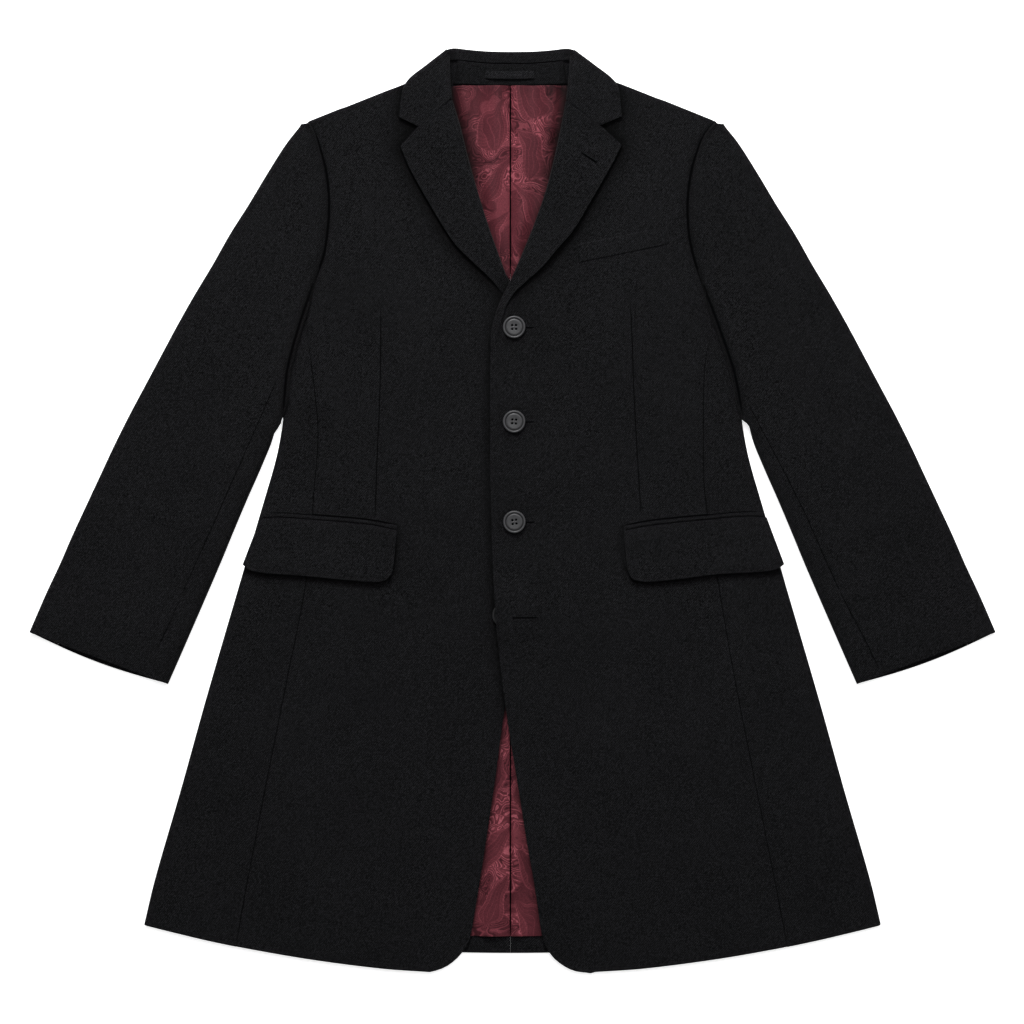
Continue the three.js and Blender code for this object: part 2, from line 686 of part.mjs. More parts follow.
// Collar: two leaves on the fronts, the fall behind the neck, and the fold that joins them
function addCollar() {
  const pieces = [];
  for (const key of ["right", "left"]) {
    const side = key === "right" ? -1 : 1;
    const points = (rows) => rows.map((row) => ({ x: row[key][0], y: row[key][1] }));
    const outer = line(points(collarLeafEdge));
    const inner = line(points(collarLeafRoll));
    const front = cornered(points(collarLeafFront));
    const back = cornered([inner(1), outer(1)]);
    const plan = inside(front, back, inner, outer);
    const leaf = (u, v) => {
      const flat = Math.max(0, u);
      const p = plan(flat, v);
      p.x += u <= 0 ? side * half : 0;
      p.z = turnedMiddle + 0.9 * (1 - smoothStep(flat, 0, 0.5)) * (1 - smoothStep(v, 0.7, 1));
      if (u < 0) p.z -= 2.4;
      return p;
    };
    pieces.push(wall([-1, 0, 0.15, 0.5, 1], shares(5), leaf, cloth));
    // The leaf turns under at the side of the neck and becomes the fall
    const radius = (turnedMiddle - backMiddle) / 2;
    const from = 0.47; // the share of the leaf's edge that lies on the front
    const turnUnder = (u, v) => {
      const p = outer(from + (1 - from) * v);
      const before = outer(from + (1 - from) * v - 0.02);
      const after = outer(Math.min(1, from + (1 - from) * v + 0.02));
      const along = after.clone().sub(before).normalize();
      const away = new THREE.Vector3(along.y, -along.x, 0).multiplyScalar(side);
      const angle = Math.PI * u;
      const reach = Math.min(radius, 2 + 8 * v) * Math.sin(angle) - 2.2;
      p.addScaledVector(away, -reach);
      p.z = backMiddle + radius * (1 + Math.cos(angle));
      return p;
    };
    pieces.push(wall(shares(5), shares(4), turnUnder, cloth));
  }
  const fold = line(collarFold);
  const fallEdge = line([
    { x: -118, y: 462 },
    { x: -70, y: 457 },
    { x: centreX, y: foldMiddle - fallHeight },
    { x: 66, y: 457 },
    { x: 113, y: 462 },
  ]);
  const fallTop = line([
    { x: -110, y: 482.5 },
    { x: -73, y: 509 },
    { x: centreX, y: 508 },
    { x: 68, y: 509 },
    { x: 105, y: 482.5 },
  ]);
  const rightEnd = cornered([fallTop(0), fallEdge(0)]);
  const leftEnd = cornered([fallTop(1), fallEdge(1)]);
  const fallPlan = inside(fallTop, fallEdge, rightEnd, leftEnd);
  const fall = (u, v) => {
    const p = fallPlan(u, v);
    p.z = backMiddle;
    return p;
  };
  pieces.push(wall(shares(10), shares(2), fall, cloth));
  const foldRadius = step / 2;
  const strip = (u, v) => {
    const p = fold(u);
    const x = p.x;
    if (v <= 1) {
      const y = p.y - standSeamDrop + (standSeamDrop - half - foldRadius) * v;
      return new THREE.Vector3(x, y, backMiddle + step);
    }
    const angle = Math.PI * Math.min(1, v - 1);
    const y = p.y - half - foldRadius + foldRadius * Math.sin(angle) - (v > 2 ? 4 : 0);
    return new THREE.Vector3(x, y, backMiddle + (step * (1 + Math.cos(angle))) / 2);
  };
  pieces.push(wall(shares(8), [0, 1, 1.25, 1.5, 1.75, 2, 3], strip, cloth));
  // At each side the strip rises into the leaf
  for (const key of ["right", "left"]) {
    const side = key === "right" ? -1 : 1;
    const x = key === "right" ? -71.6 : 65.8;
    const riser = (u, v) => {
      const y = 509.5 - 11.5 * v;
      const z = backMiddle + step + (turnedMiddle - backMiddle) * u;
      return new THREE.Vector3(x + side * 1.4 * u, y, z);
    };
    pieces.push(wall(shares(2), shares(2), riser, cloth));
  }
  addPiece("collar", joined(...pieces), wool);
}

// The stand fills the neck between the collar's seam and the back lining
function addStand() {
  const fold = line(collarFold.map((p) => ({ x: p.x * 0.9, y: p.y - standSeamDrop - 3 * seamGap })));
  const foot = line([
    { x: -64.6, y: liningTop + 1.6 },
    { x: centreX, y: liningTop },
    { x: 59.6, y: liningTop + 1.6 },
  ]);
  const place = (u, v) => {
    const p = foot(u).multiplyScalar(1 - v).addScaledVector(fold(u), v);
    p.z = backMiddle + step;
    return p;
  };
  addPiece("collar_stand", wall(shares(8), shares(2), place, cloth), wool);
}
function addHangerLoop() {
  const thickness = 1.6;
  const width = 6.4;
  const span = { from: -30.4, to: 24.1, y: 486.4, sag: 2.2 };
  const place = (u, v) => {
    const x = span.from + (span.to - span.from) * u;
    const bow = Math.sin(Math.PI * u);
    const y = span.y - span.sag * bow + width * (v - 0.5);
    return new THREE.Vector3(x, y, backMiddle + step + half + seamGap + thickness / 2 + 0.5 * bow);
  };
  addPiece("hanger_loop", wall(shares(10), shares(1), place, thickness), wool);
}

// Sleeve, a tube that lies flat: a top sleeve and an under sleeve with a seam in front and one behind
function addSleeve(side, topName, underName) {
  const radius = (sleeveTop - backMiddle) / 2;
  const nip = radius + half;
  const rows = sleeveSections.map((row) => {
    const innerX = row.iy > pit ? armholeAt(side, row.iy) : row.ix;
    const inner = new THREE.Vector3(side * (innerX + armholeGap), row.iy, 0);
    const outer = new THREE.Vector3(side * row.ox, row.oy, 0);
    const along = outer.clone().sub(inner);
    const width = along.length();
    const seam = side < 0 ? row.right : row.left;
    return { inner, along: along.normalize(), width, seam, fold: row.fold };
  });
  const upperLevel = (row, q) => {
    if (row.fold) return sleeveTop;
    const rise = smoothStep(q, 0, Math.min(26, row.width - nip));
    return frontMiddle + (sleeveTop - frontMiddle) * rise;
  };
  const innerArc = (angle) => ({
    q: nip - radius * Math.sin(angle),
    z: backMiddle + radius * (1 - Math.cos(angle)),
  });
  const outerArc = (row, angle) => ({
    q: row.width - nip + radius * Math.sin(angle),
    z: backMiddle + radius * (1 + Math.cos(angle)),
  });
  const upper = (row, q) => ({ q, z: upperLevel(row, q) });
  const elbowSeam = (row) => Math.max(nip + 1, row.width - Math.min(backSeamInset, row.width * 0.5));
  const topSection = (row) => {
    const flatEnd = row.width - nip;
    let opening;
    let flatStart = nip;
    if (!row.fold) opening = [upper(row, 0), upper(row, 1.8), upper(row, nip)];
    else if (row.seam === 0) opening = [innerArc(1.85), innerArc(2.5), innerArc(Math.PI)];
    else {
      flatStart = Math.max(nip, row.seam) + 6;
      const apart = row.seam < 10 ? 1.4 : seamGap;
      opening = [-6, -3, 0].map((d) => upper(row, flatStart + d + apart));
    }
    const flat = [0.3, 0.6, 0.85, 1].map((s) => upper(row, flatStart + (flatEnd - flatStart) * s));
    const arc = [1, 2, 3, 4].map((k) => outerArc(row, (Math.PI * k) / 4));
    const last = { q: elbowSeam(row) + seamGap / 2, z: backMiddle };
    return [...opening, ...flat, ...arc, last];
  };
  const underSection = (row) => {
    const from = elbowSeam(row) - seamGap / 2;
    const flat = [0, 0.5].map((s) => ({ q: from + (nip - from) * s, z: backMiddle }));
    const end = { q: nip, z: backMiddle };
    if (!row.fold) {
      const out = [0.25, 0.5, 0.75, 1].map((s) => ({ q: nip * (1 - s), z: backMiddle }));
      return [...flat, end, ...out];
    }
    if (row.seam === 0) return [...flat, end, ...[0.35, 0.7, 1.05, 1.35].map(innerArc)];
    const seam = Math.max(nip, row.seam);
    return [...flat, end, ...[0.8, 1.6, 2.4].map(innerArc), upper(row, seam)];
  };
  const stations = rows.map((unused, i) => i);
  const build = (section) => {
    const table = rows.map(section);
    const count = table[0].length;
    const place = (i, j) => {
      const row = rows[i];
      const at = table[i][j];
      const p = row.inner.clone().addScaledVector(row.along, at.q);
      if (i === rows.length - 1 && at.z < half + 0.1) {
        const down = new THREE.Vector3(side * 0.348, -0.937, 0);
        p.addScaledVector(down, cuffReach * Math.sin((Math.PI * at.q) / row.width));
      }
      p.z = at.z;
      return p;
    };
    return wall(stations, Array.from({ length: count }, (unused, j) => j), place, cloth);
  };
  addPiece(topName, build(topSection), wool);
  addPiece(underName, build(underSection), wool);
}

// Hip pocket: a jetting along the opening and a flap that hangs from it
function addPocket(side, jettingName, flapName) {
  const topPoints = side < 0 ? rightFlapTop : leftFlapTop;
  const bottomPoints = side < 0 ? rightFlapBottom : leftFlapBottom;
  const place3 = (p) => ({ x: side * p.x, y: p.y });
  const near = line(topPoints.map(place3));
  const far = line(bottomPoints.map(place3));
  const plan = inside(near, far, cornered([near(0), far(0)]), cornered([near(1), far(1)]));
  const level = frontMiddle + step;
  const flap = (u, v) => {
    const p = plan(u, v);
    p.z = level;
    return p;
  };
  addPiece(flapName, wall(shares(12), shares(4), flap, cloth), wool);
  const jetting = (u, v) => {
    const p = near(0.9 * u);
    p.y += seamGap + jettingWidth * v;
    p.z = frontMiddle + half + seamGap + jettingThickness / 2;
    return p;
  };
  addPiece(jettingName, wall(shares(8), shares(1), jetting, jettingThickness), wool);
}

function addBreastWelt() {
  const w = breastWelt;
  const place = (u, v) => {
    const x = w.x + w.length * (u - 0.5);
    const y = w.y - w.slant * w.length * (0.5 - u) + w.height * (v - 0.5);
    return new THREE.Vector3(x, y, frontMiddle + half + seamGap + w.thickness / 2);
  };
  addPiece("breast_welt", wall(shares(6), shares(2), place, w.thickness), wool);
}

// Button: turned, with a groove inside its rim and four holes
function addButton(button) {
  const r = buttonDiameter / 2;
  const t = buttonThickness;
  const profile = [
    [0, 0],
    [r * 0.8, 0],
    [r, t * 0.45],
    [r, t * 0.75],
    [r * 0.93, t],
    [r * 0.84, t * 0.92],
    [r * 0.77, t * 0.68],
    [r * 0.7, t * 0.84],
    [0, t * 0.76],
  ].map(([x, y]) => new THREE.Vector2(x, y));
  const body = new THREE.LatheGeometry(profile, 20);
  let whole = solid(body.rotateX(Math.PI / 2));
  for (const [i, j] of [[1, 1], [1, -1], [-1, 1], [-1, -1]]) {
    const drill = new THREE.CylinderGeometry(buttonHole / 2, buttonHole / 2, 3 * t, 6);
    drill.rotateX(Math.PI / 2);
    drill.translate((i * buttonHoleSpread) / 2, (j * buttonHoleSpread) / 2, 0);
    whole = whole.subtract(solid(drill));
  }
  const geometry = geometryOf(whole);
  const under = button.level === 2 ? frontMiddle + step : frontMiddle;
  geometry.translate(button.x, button.y, under + half + seamGap);
  addPiece(button.name, geometry, horn);
}

addBack(-1, "back_right");
addBack(1, "back_left");
addBackLining(-1, "back_lining_right");
addBackLining(1, "back_lining_left");
addSidePanel(-1, "side_panel_right");
addSidePanel(1, "side_panel_left");
addFront(-1, "front_right");
addFront(1, "front_left");
addLapel(-1, "lapel_right");
addLapel(1, "lapel_left");
addCollar();
addStand();
addHangerLoop();
addSleeve(-1, "top_sleeve_right", "under_sleeve_right");
addSleeve(1, "top_sleeve_left", "under_sleeve_left");
addPocket(-1, "jetting_right", "flap_right");
addPocket(1, "jetting_left", "flap_left");
addBreastWelt();
for (const button of buttons) addButton(button);

// The origin is under the middle of the coat
coat.position.y = 1;

export default coat;
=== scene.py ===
# A long single-breasted wool coat, laid flat on its back and seen from straight above
import bisect
import math
import bmesh
import bpy
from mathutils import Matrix, Vector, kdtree
from mathutils.bvhtree import BVHTree


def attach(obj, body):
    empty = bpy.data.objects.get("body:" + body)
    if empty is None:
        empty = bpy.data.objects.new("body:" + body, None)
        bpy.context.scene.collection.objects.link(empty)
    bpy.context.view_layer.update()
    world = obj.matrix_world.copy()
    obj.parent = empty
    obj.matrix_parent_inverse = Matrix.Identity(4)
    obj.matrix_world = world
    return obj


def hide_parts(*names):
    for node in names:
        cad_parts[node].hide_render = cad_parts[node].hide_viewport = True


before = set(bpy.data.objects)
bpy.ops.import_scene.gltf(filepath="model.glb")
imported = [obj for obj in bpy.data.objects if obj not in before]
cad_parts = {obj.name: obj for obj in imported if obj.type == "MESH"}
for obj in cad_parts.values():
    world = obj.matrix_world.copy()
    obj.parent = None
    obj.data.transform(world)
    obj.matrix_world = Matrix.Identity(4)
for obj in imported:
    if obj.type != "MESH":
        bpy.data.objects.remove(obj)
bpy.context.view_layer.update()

# Sizes are in millimetres until a mesh is finished; right and left are the wearer's
mm = 0.001
originShift = 1.0 # the drawing's own middle lies this far below the frame's
wool = {"thick": 2.4, "roll": 0.75} # wall, and how far its cut edges are rounded
satin = {"thick": 1.0, "roll": 0.2}
seamGap = 0.3
centreX = -2.4 # collar and centre back seam lie a little to the wearer's right
half = wool["thick"] / 2
step = wool["thick"] + seamGap
backLevel = half
liningLevel = 3.3
frontLevel = 5.4
turnedLevel = frontLevel + step
sleeveTop = 7.4


def table(names, rows):
    keys = names.split()
    return [dict(zip(keys, row)) for row in rows]


# Outlines measured on the coat: a row for each place
bodySide = table("y x", [
    (104, 256.6), (89.6, 258.2), (56, 264.9), (5.6, 279.4), (-78.4, 304.1), (-212.8, 343.3),
    (-313.6, 371.3), (-414.4, 400.4), (-470, 413.6),
])
armhole = table("y right left", [
    (434.6, 229, 228.6), (420, 220.6, 215), (405.7, 215.7, 208.2), (377.8, 208.2, 199.7),
    (342, 205, 195.7), (309.2, 207.1, 197.4), (283.5, 211.5, 202.4), (259.8, 220.1, 210.2),
    (206.3, 238.2, 229.9), (159.2, 251, 246.2), (131.4, 254.2, 252.4), (104, 256.6, 256.6),
])
sideSeam = table("y right left", [
    (204, 231.2, 225.4), (174.2, 226.4, 216.8), (133.1, 221.3, 213.6), (82.8, 217.4, 213.4),
    (20, 222.1, 215), (-78.4, 230.7, 229.6), (-189.3, 252.1, 248.6), (-336, 281.3, 277.6),
    (-452.5, 303.3, 300.6), (-500, 311, 309),
])
backSeam = table("y x", [
    (204, 214), (82.8, 196), (-78.4, 214), (-300, 250), (-500, 284),
])
frontHem = table("x y", [
    (92.4, -516.7), (145, -513), (216.7, -504), (278.3, -493.9), (341, -481.6), (413.6, -464.4),
])
rightEdge = table("x y", [
    (-92.4, -516.7), (-81.3, -513.7), (-70.2, -508.1), (-58.1, -497.1), (-50.3, -485), (-47, -476),
    (-40.3, -438.4), (-31.5, -383), (-19.4, -301.2), (-8.7, -223.7), (2, -170), (12, -117), (24, -13),
    (26, 110), (24, 204), (12, 236), (-3.4, 253),
])
leftEdge = table("x y", [
    (92.4, -516.7), (82.3, -517.4), (67, -514.8), (51.5, -505.9), (42.7, -497.1), (36.1, -485),
    (32.7, -473.8), (25, -422.9), (16.1, -371.8), (5, -301.2), (-7.3, -223.7), (-18.5, -123.2),
    (-23.5, -13.4), (-25, 124.9), (-24, 180), (-18.5, 213), (-8, 240), (0.6, 259),
])
rightRoll = table("x y", [
    (-4, 254), (-16.4, 284.5), (-30.9, 325.9), (-50.7, 392.8), (-60.4, 431.6), (-68.4, 457.6),
    (-70.8, 484),
])
leftRoll = table("x y", [
    (-0.2, 257.6), (8.4, 278.3), (22.5, 312.5), (37.5, 355), (49.8, 403.6), (60, 455.8), (64, 484),
])
rightLapelEdge = table("x y", [
    (-11, 244), (-24.4, 259.6), (-42, 276), (-62, 296), (-77, 318), (-102.1, 360.6), (-115.4, 385.6),
    (-124, 407.1),
])
leftLapelEdge = table("x y", [
    (1, 243), (11.8, 253.5), (33.2, 272.7), (48.9, 291.9), (66.6, 312.5), (88.3, 348.9), (108.9, 384.7),
    (120.6, 407.7),
])
rightLapelTop = table("x y", [
    (-124, 407.1), (-105.2, 427.9), (-68.5, 458.2),
])
leftLapelTop = table("x y", [
    (120.6, 407.7), (97.8, 429), (60.8, 456.7),
])
sleeveSections = table("ox oy ix iy right left", [
    (236, 431, 228.6, 432.6, 0, 0), (253.7, 408.8, 211.5, 392, 0, 0),
    (275, 375.2, 205.4, 354, 0, 0), (295.1, 341.6, 206.4, 316, 0, 0),
    (316.4, 308, 213.3, 277, 0, 0), (335.4, 274.4, 228.4, 237, 0, 0),
    (355.6, 240.8, 241, 197, 0, 0), (374.6, 207.2, 251.2, 158, 0, 0),
    (392.6, 173.6, 255.4, 121, 8, 2), (410.5, 140, 266, 84, 16, 6),
    (428.4, 106.4, 280.6, 48, 21, 12), (445.2, 72.8, 296, 13, 22, 14),
    (460.9, 39.2, 310.4, -21, 22, 16), (476.6, 5.6, 324.8, -56, 23, 20),
    (492.2, -28, 339.8, -91, 25, 23), (506.8, -61.6, 355, -126, 26, 24),
    (522.5, -95.2, 369.8, -160, 27, 26), (540.4, -136.6, 385, -194.6, 28, 28),
])
rightFlapTop = table("x y", [
    (129.4, -22.8), (159.3, -17.1), (222.1, -11.5), (263, -8.8), (282, -9.9),
])
rightFlapBottom = table("x y", [
    (133.3, -63.4), (137, -74), (146.7, -79.7), (182.8, -78.3), (231.5, -73.6), (292, -67.6),
    (301.4, -61),
])
leftFlapTop = table("x y", [
    (124.6, -23.6), (150.9, -18.4), (212.2, -11.9), (262, -7.6), (284, -8.3),
])
leftFlapBottom = table("x y", [
    (128.7, -66.2), (134, -76.6), (146, -79.9), (182, -77.6), (226.6, -71.9), (294, -66.4),
    (303.5, -60.5),
])
collarLeafEdge = table("right left", [
    ((-126, 438.7), (121.2, 439.6)), ((-120.8, 472), (116.6, 474)), ((-116.5, 481.6), (112.6, 481.6)),
    ((-96, 498.2), (92, 498)), ((-74, 515.4), (69.6, 514.8)),
])
collarLeafFront = table("right left", [
    ((-68.6, 459.2), (61, 457.6)), ((-105.6, 428.8), (98.2, 430)), ((-126, 438.7), (121.2, 439.6)),
])
collarLeafRoll = table("right left", [
    ((-68.6, 459.2), (61, 457.6)), ((-70.8, 484), (64, 484)), ((-71.5, 508), (65.6, 508)),
])
foldMiddle = 510.2
collarFold = table("x y", [
    (-73.5, 515.2), (-66, 516.8), (-50, 515.2), (-32, 513.6), (centreX, foldMiddle + 2.6),
    (28, 513.4), (45, 514.8), (61.5, 516.4), (69, 514.8),
])
standSeamDrop = 13.4
standEnds = (-67, 62) # of the stand's lower edge
liningTop = 475.2
liningRise = 19 # the lining's hem above the back's
fallHeight = 54
shoulderNeck = {"x": 74, "y": 495.4}
shoulderTip = {"x": 229, "y": 434.6}
pit = 100
seamTop = 197 # the side and back seams run straight up from here
tipHeight = 433.6
armGap = 0.2 # between the body's edge at the armhole and the sleeve
underRoll = 3.2 # how far the front runs on where the sleeve rolls over it
stripTop = 203
breakHeight = 262 # the lapels open above here
closedFoot = -225 # the skirts part below here
standShare = 0.93 # width of the stand's seam, of the fold's
backHemSide = -481
frontHemSide = -488
rightDart = table("y x", [(-8.4, -153.8), (57.6, -151.4), (145.6, -147.9), (227.8, -147.2)])
leftDart = table("y x", [(-6.7, 143.7), (124.9, 136), (189.3, 133.8), (230.9, 131.7)])


# Reading tables and drawing smooth lines
def smoothStep(value, low, high):
    t = min(1.0, max(0.0, (value - low) / (high - low)))
    return t * t * (3 - 2 * t)


def mix(a, b, share):
    return a + (b - a) * share


def read(rows, key, at, column):
    falling = rows[0][key] > rows[-1][key]
    i = 0
    while i < len(rows) - 2 and (rows[i + 1][key] > at if falling else rows[i + 1][key] < at):
        i += 1
    span = rows[i + 1][key] - rows[i][key]
    t = min(1.0, max(0.0, (at - rows[i][key]) / span))

    def slope(k):
        before, after = rows[max(0, k - 1)], rows[min(len(rows) - 1, k + 1)]
        return (after[column] - before[column]) / (after[key] - before[key]) * span

    square, cube = t * t, t * t * t
    return (rows[i][column] * (2 * cube - 3 * square + 1) + rows[i + 1][column] * (3 * square - 2 * cube)
            + slope(i) * (cube - 2 * square + t) + slope(i + 1) * (cube - square))


def measured(points):
    lengths = [0.0]
    for a, b in zip(points, points[1:]):
        lengths.append(lengths[-1] + (b - a).length)

    def at(share):
        want = min(1.0, max(0.0, share)) * lengths[-1]
        i = min(len(points) - 2, max(0, bisect.bisect_right(lengths, want) - 1))
        span = lengths[i + 1] - lengths[i]
        return points[i].lerp(points[i + 1], (want - lengths[i]) / span if span else 0)
    at.length = lengths[-1]
    return at


def cornered(points):
    return measured([Vector((p["x"], p["y"], 0)) if isinstance(p, dict) else Vector(p) for p in points])


def line(points): # a centripetal curve through the points
    ps = [Vector((p["x"], p["y"], 0)) if isinstance(p, dict) else Vector(p) for p in points]
    ps = [ps[0] * 2 - ps[1]] + ps + [ps[-1] * 2 - ps[-2]]
    dense = []
    for a, b, c, d in zip(ps, ps[1:], ps[2:], ps[3:]):
        t1 = math.sqrt((b - a).length)
        t2 = t1 + math.sqrt((c - b).length)
        t3 = t2 + math.sqrt((d - c).length)
        for k in range(16):
            t = mix(t1, t2, k / 16)
            ab, bc, cd = a.lerp(b, t / t1), b.lerp(c, (t - t1) / (t2 - t1)), c.lerp(d, (t - t2) / (t3 - t2))
            abc, bcd = ab.lerp(bc, t / t2), bc.lerp(cd, (t - t1) / (t3 - t1))
            dense.append(abc.lerp(bcd, (t - t1) / (t2 - t1)))
    dense.append(ps[-2])
    return measured(dense)


def inside(near, far, start, end): # a point between four edges
    def at(u, v):
        return (near(u) * (1 - v) + far(u) * v + start(v) * (1 - u) + end(v) * u
                - near(0) * (1 - u) * (1 - v) - near(1) * u * (1 - v)
                - far(0) * (1 - u) * v - far(1) * u * v)
    return at


def across(low, high, height):
    return lambda share: Vector((mix(low, high, share), height(mix(low, high, share)), 0))


def stationed(heights, distance, side):
    def at(share):
        place = share * (len(heights) - 1)
        i = min(len(heights) - 2, int(place))
        y = mix(heights[i], heights[i + 1], place - i)
        return Vector((side * distance(y), y, 0))
    return at


def evenly(count, low=0.0, high=1.0):
    return [mix(low, high, i / count) for i in range(count + 1)]


def pointsOn(curve, parts, count=None): # all points, or the first few
    return [curve(k / parts) for k in range(count or parts + 1)]


# The cloth's slow swells and its creases: each crease runs from one point to another
bodyCreases = table("x0 y0 x1 y1 wide high", [
    (-236, 176, -128, 128, 15, 0.9), (-228, 120, -150, 92, 11, 0.5), (230, 168, 150, 122, 14, 0.8),
    (236, 128, 172, 104, 10, 0.5), (-214, 60, -232, -2, 14, 0.7), (208, 66, 226, 2, 16, 0.7),
    (-190, -140, -226, -420, 30, 1.5), (-96, -190, -112, -450, 26, 1.1), (-262, -120, -330, -430, 24, 1.2),
    (120, -150, 150, -440, 28, 1.3), (214, -130, 262, -430, 26, 1.4), (292, -110, 356, -400, 22, 1.0),
    (-60, 196, -128, 214, 13, 0.5), (44, 196, 118, 222, 13, 0.6), (-50, 96, -118, 84, 14, 0.4),
    (50, 98, 110, 88, 14, 0.5), (-190, 380, -160, 290, 22, 0.8), (180, 372, 158, 282, 22, 0.7),
    (52, -116, 100, -132, 14, 0.7), (40, -40, 70, -190, 16, 0.8), (-140, 452, -176, 404, 18, 0.5),
    (140, 450, 178, 402, 18, 0.5),
])
sleeveCreases = table("x0 y0 x1 y1 wide high", [
    (-330, -34, -418, 6, 12, 1.0), (-344, -66, -430, -52, 13, 0.8), (-312, 24, -392, 66, 13, 0.7),
    (-290, 130, -350, 190, 16, 0.8), (-262, 330, -300, 230, 16, 1.0), (-366, -140, -452, -120, 12, 0.6),
    (-244, 408, -258, 386, 6, 1.0), (332, -44, 424, -10, 13, 1.0), (352, -92, 440, -84, 12, 0.8),
    (310, 40, 386, 84, 13, 0.8), (286, 140, 352, 186, 16, 0.7), (252, 330, 296, 236, 16, 0.9),
    (372, -150, 470, -128, 11, 0.6), (243, 410, 256, 388, 6, 1.1), (-420, 60, -470, -40, 18, 0.7),
    (418, 70, 474, -30, 18, 0.8),
])


def creased(x, y, creases):
    height = 0.0
    for c in creases:
        dx, dy = c["x1"] - c["x0"], c["y1"] - c["y0"]
        t = ((x - c["x0"]) * dx + (y - c["y0"]) * dy) / (dx * dx + dy * dy)
        if t < -0.3 or t > 1.3:
            continue
        away = (abs((x - c["x0"]) * dy - (y - c["y0"]) * dx) / math.hypot(dx, dy)) / c["wide"]
        if away > 2.6:
            continue
        ends = smoothStep(t, -0.3, 0.25) * (1 - smoothStep(t, 0.7, 1.3))
        height += c["high"] * math.exp(-away * away) * ends
    return height


def swell(x, y):
    a = math.sin(x * 0.021 + y * 0.006 + 0.7) * math.sin(y * 0.0125 - x * 0.004 + 1.9)
    b = math.sin(x * 0.043 - y * 0.017 + 2.1) * math.sin(y * 0.029 + x * 0.011)
    return 0.75 + 0.45 * a + 0.25 * b


def bodyWave(x, y):
    return swell(x, y) + creased(x, y, bodyCreases)


def sleeveWave(x, y):
    return swell(x, y) + creased(x, y, sleeveCreases)


# One piece of cloth: a grid, shaped by place(u, v), given its wall and rounded edges
made = {}


def pathLength(points):
    return sum((b - a).length for a, b in zip(points, points[1:]))


def clothPiece(name, us, vs, place, cloth, material, nodes):
    bm = bmesh.new()
    bmesh.ops.create_grid(bm, x_segments=len(us) - 1, y_segments=len(vs) - 1, size=0.5)
    grid = {}
    for vert in bm.verts:
        i = round((vert.co.x + 0.5) * (len(us) - 1))
        j = round((vert.co.y + 0.5) * (len(vs) - 1))
        grid[i, j] = place(us[i], vs[j])
        vert.co = (grid[i, j] + Vector((0, originShift, 0))) * mm
    rows = [pathLength([grid[i, j] for i in range(len(us))]) for j in range(len(vs))]
    columns = [pathLength([grid[i, j] for j in range(len(vs))]) for i in range(len(us))]
    bmesh.ops.recalc_face_normals(bm, faces=bm.faces)
    if sum(f.normal.z * f.calc_area() for f in bm.faces) < 0:
        bmesh.ops.reverse_faces(bm, faces=bm.faces)
    area = sum(f.calc_area() for f in bm.faces)
    mesh = bpy.data.meshes.new(name)
    bm.to_mesh(mesh)
    bm.free()
    mesh.polygons.foreach_set("use_smooth", [True] * len(mesh.polygons))
    piece = bpy.data.objects.new(name, mesh)
    bpy.context.scene.collection.objects.link(piece)
    mesh.materials.append(material)
    wallOf = piece.modifiers.new("wall", "SOLIDIFY")
    wallOf.thickness = cloth["thick"] * mm
    wallOf.offset = 0
    edges = piece.modifiers.new("rounded edges", "BEVEL")
    edges.width = cloth["roll"] * mm
    edges.segments = 3
    edges.profile = 0.5
    edges.limit_method = "ANGLE"
    edges.angle_limit = math.radians(55)
    edges.miter_outer = "MITER_ARC"
    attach(piece, "root")
    if nodes:
        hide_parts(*nodes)
    paint(piece, lambda x, y: 1.0)
    made[name] = piece


def woolPiece(name, us, vs, place, nodes, cloth=wool):
    clothPiece(name, us, vs, place, cloth, blackWool, nodes)


# Painted shade where cloth lies close beside an edge: each line darkens the colour of what is near it, in
# place of the shadow there
def samples(path, gap=1.5):
    spots = [path[0]]
    for a, b in zip(path, path[1:]):
        steps = max(1, int((b - a).length / gap))
        spots += [a.lerp(b, (k + 1) / steps) for k in range(steps)]
    return spots


def shadeLine(path, reach, depth):
    spots = samples([Vector((p.x, p.y, 0)) for p in path])
    tree = kdtree.KDTree(len(spots))
    for number, spot in enumerate(spots):
        tree.insert(spot, number)
    tree.balance()
    return {"tree": tree, "reach": reach, "depth": depth}


def shadeOf(x, y, lines):
    shade = 1.0
    for one in lines:
        away = one["tree"].find(Vector((x, y, 0)))[2]
        shade *= 1 - one["depth"] * math.exp(-((away / one["reach"]) ** 1.3))
    return shade


# Writes the 'shade' attribute, which scales the base colour: painted shade below 1, painted highlight above 1
def paint(piece, shadeAt):
    mesh = piece.data
    layer = mesh.attributes.get("shade") or mesh.attributes.new("shade", "FLOAT", "POINT")
    values = [shadeAt(v.co.x / mm, v.co.y / mm - originShift) for v in mesh.vertices]
    layer.data.foreach_set("value", values)


def solidPiece(name, bm, material, nodes=()):
    bmesh.ops.recalc_face_normals(bm, faces=bm.faces)
    mesh = bpy.data.meshes.new(name)
    bm.to_mesh(mesh)
    bm.free()
    mesh.polygons.foreach_set("use_smooth", [True] * len(mesh.polygons))
    piece = bpy.data.objects.new(name, mesh)
    bpy.context.scene.collection.objects.link(piece)
    mesh.materials.append(material)
    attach(piece, "root")
    if nodes:
        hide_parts(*nodes)
    paint(piece, lambda x, y: 1.0)
    made[name] = piece
    return piece


# Materials
def newMaterial(name):
    material = bpy.data.materials.new(name)
    material.use_nodes = True
    tree = material.node_tree
    shader = tree.nodes["Principled BSDF"]

    def add(kind, **values):
        node = tree.nodes.new(kind)
        for key, value in values.items():
            if key in node.inputs:
                node.inputs[key].default_value = value
            else:
                setattr(node, key, value)
        return node
    return material, tree, shader, add
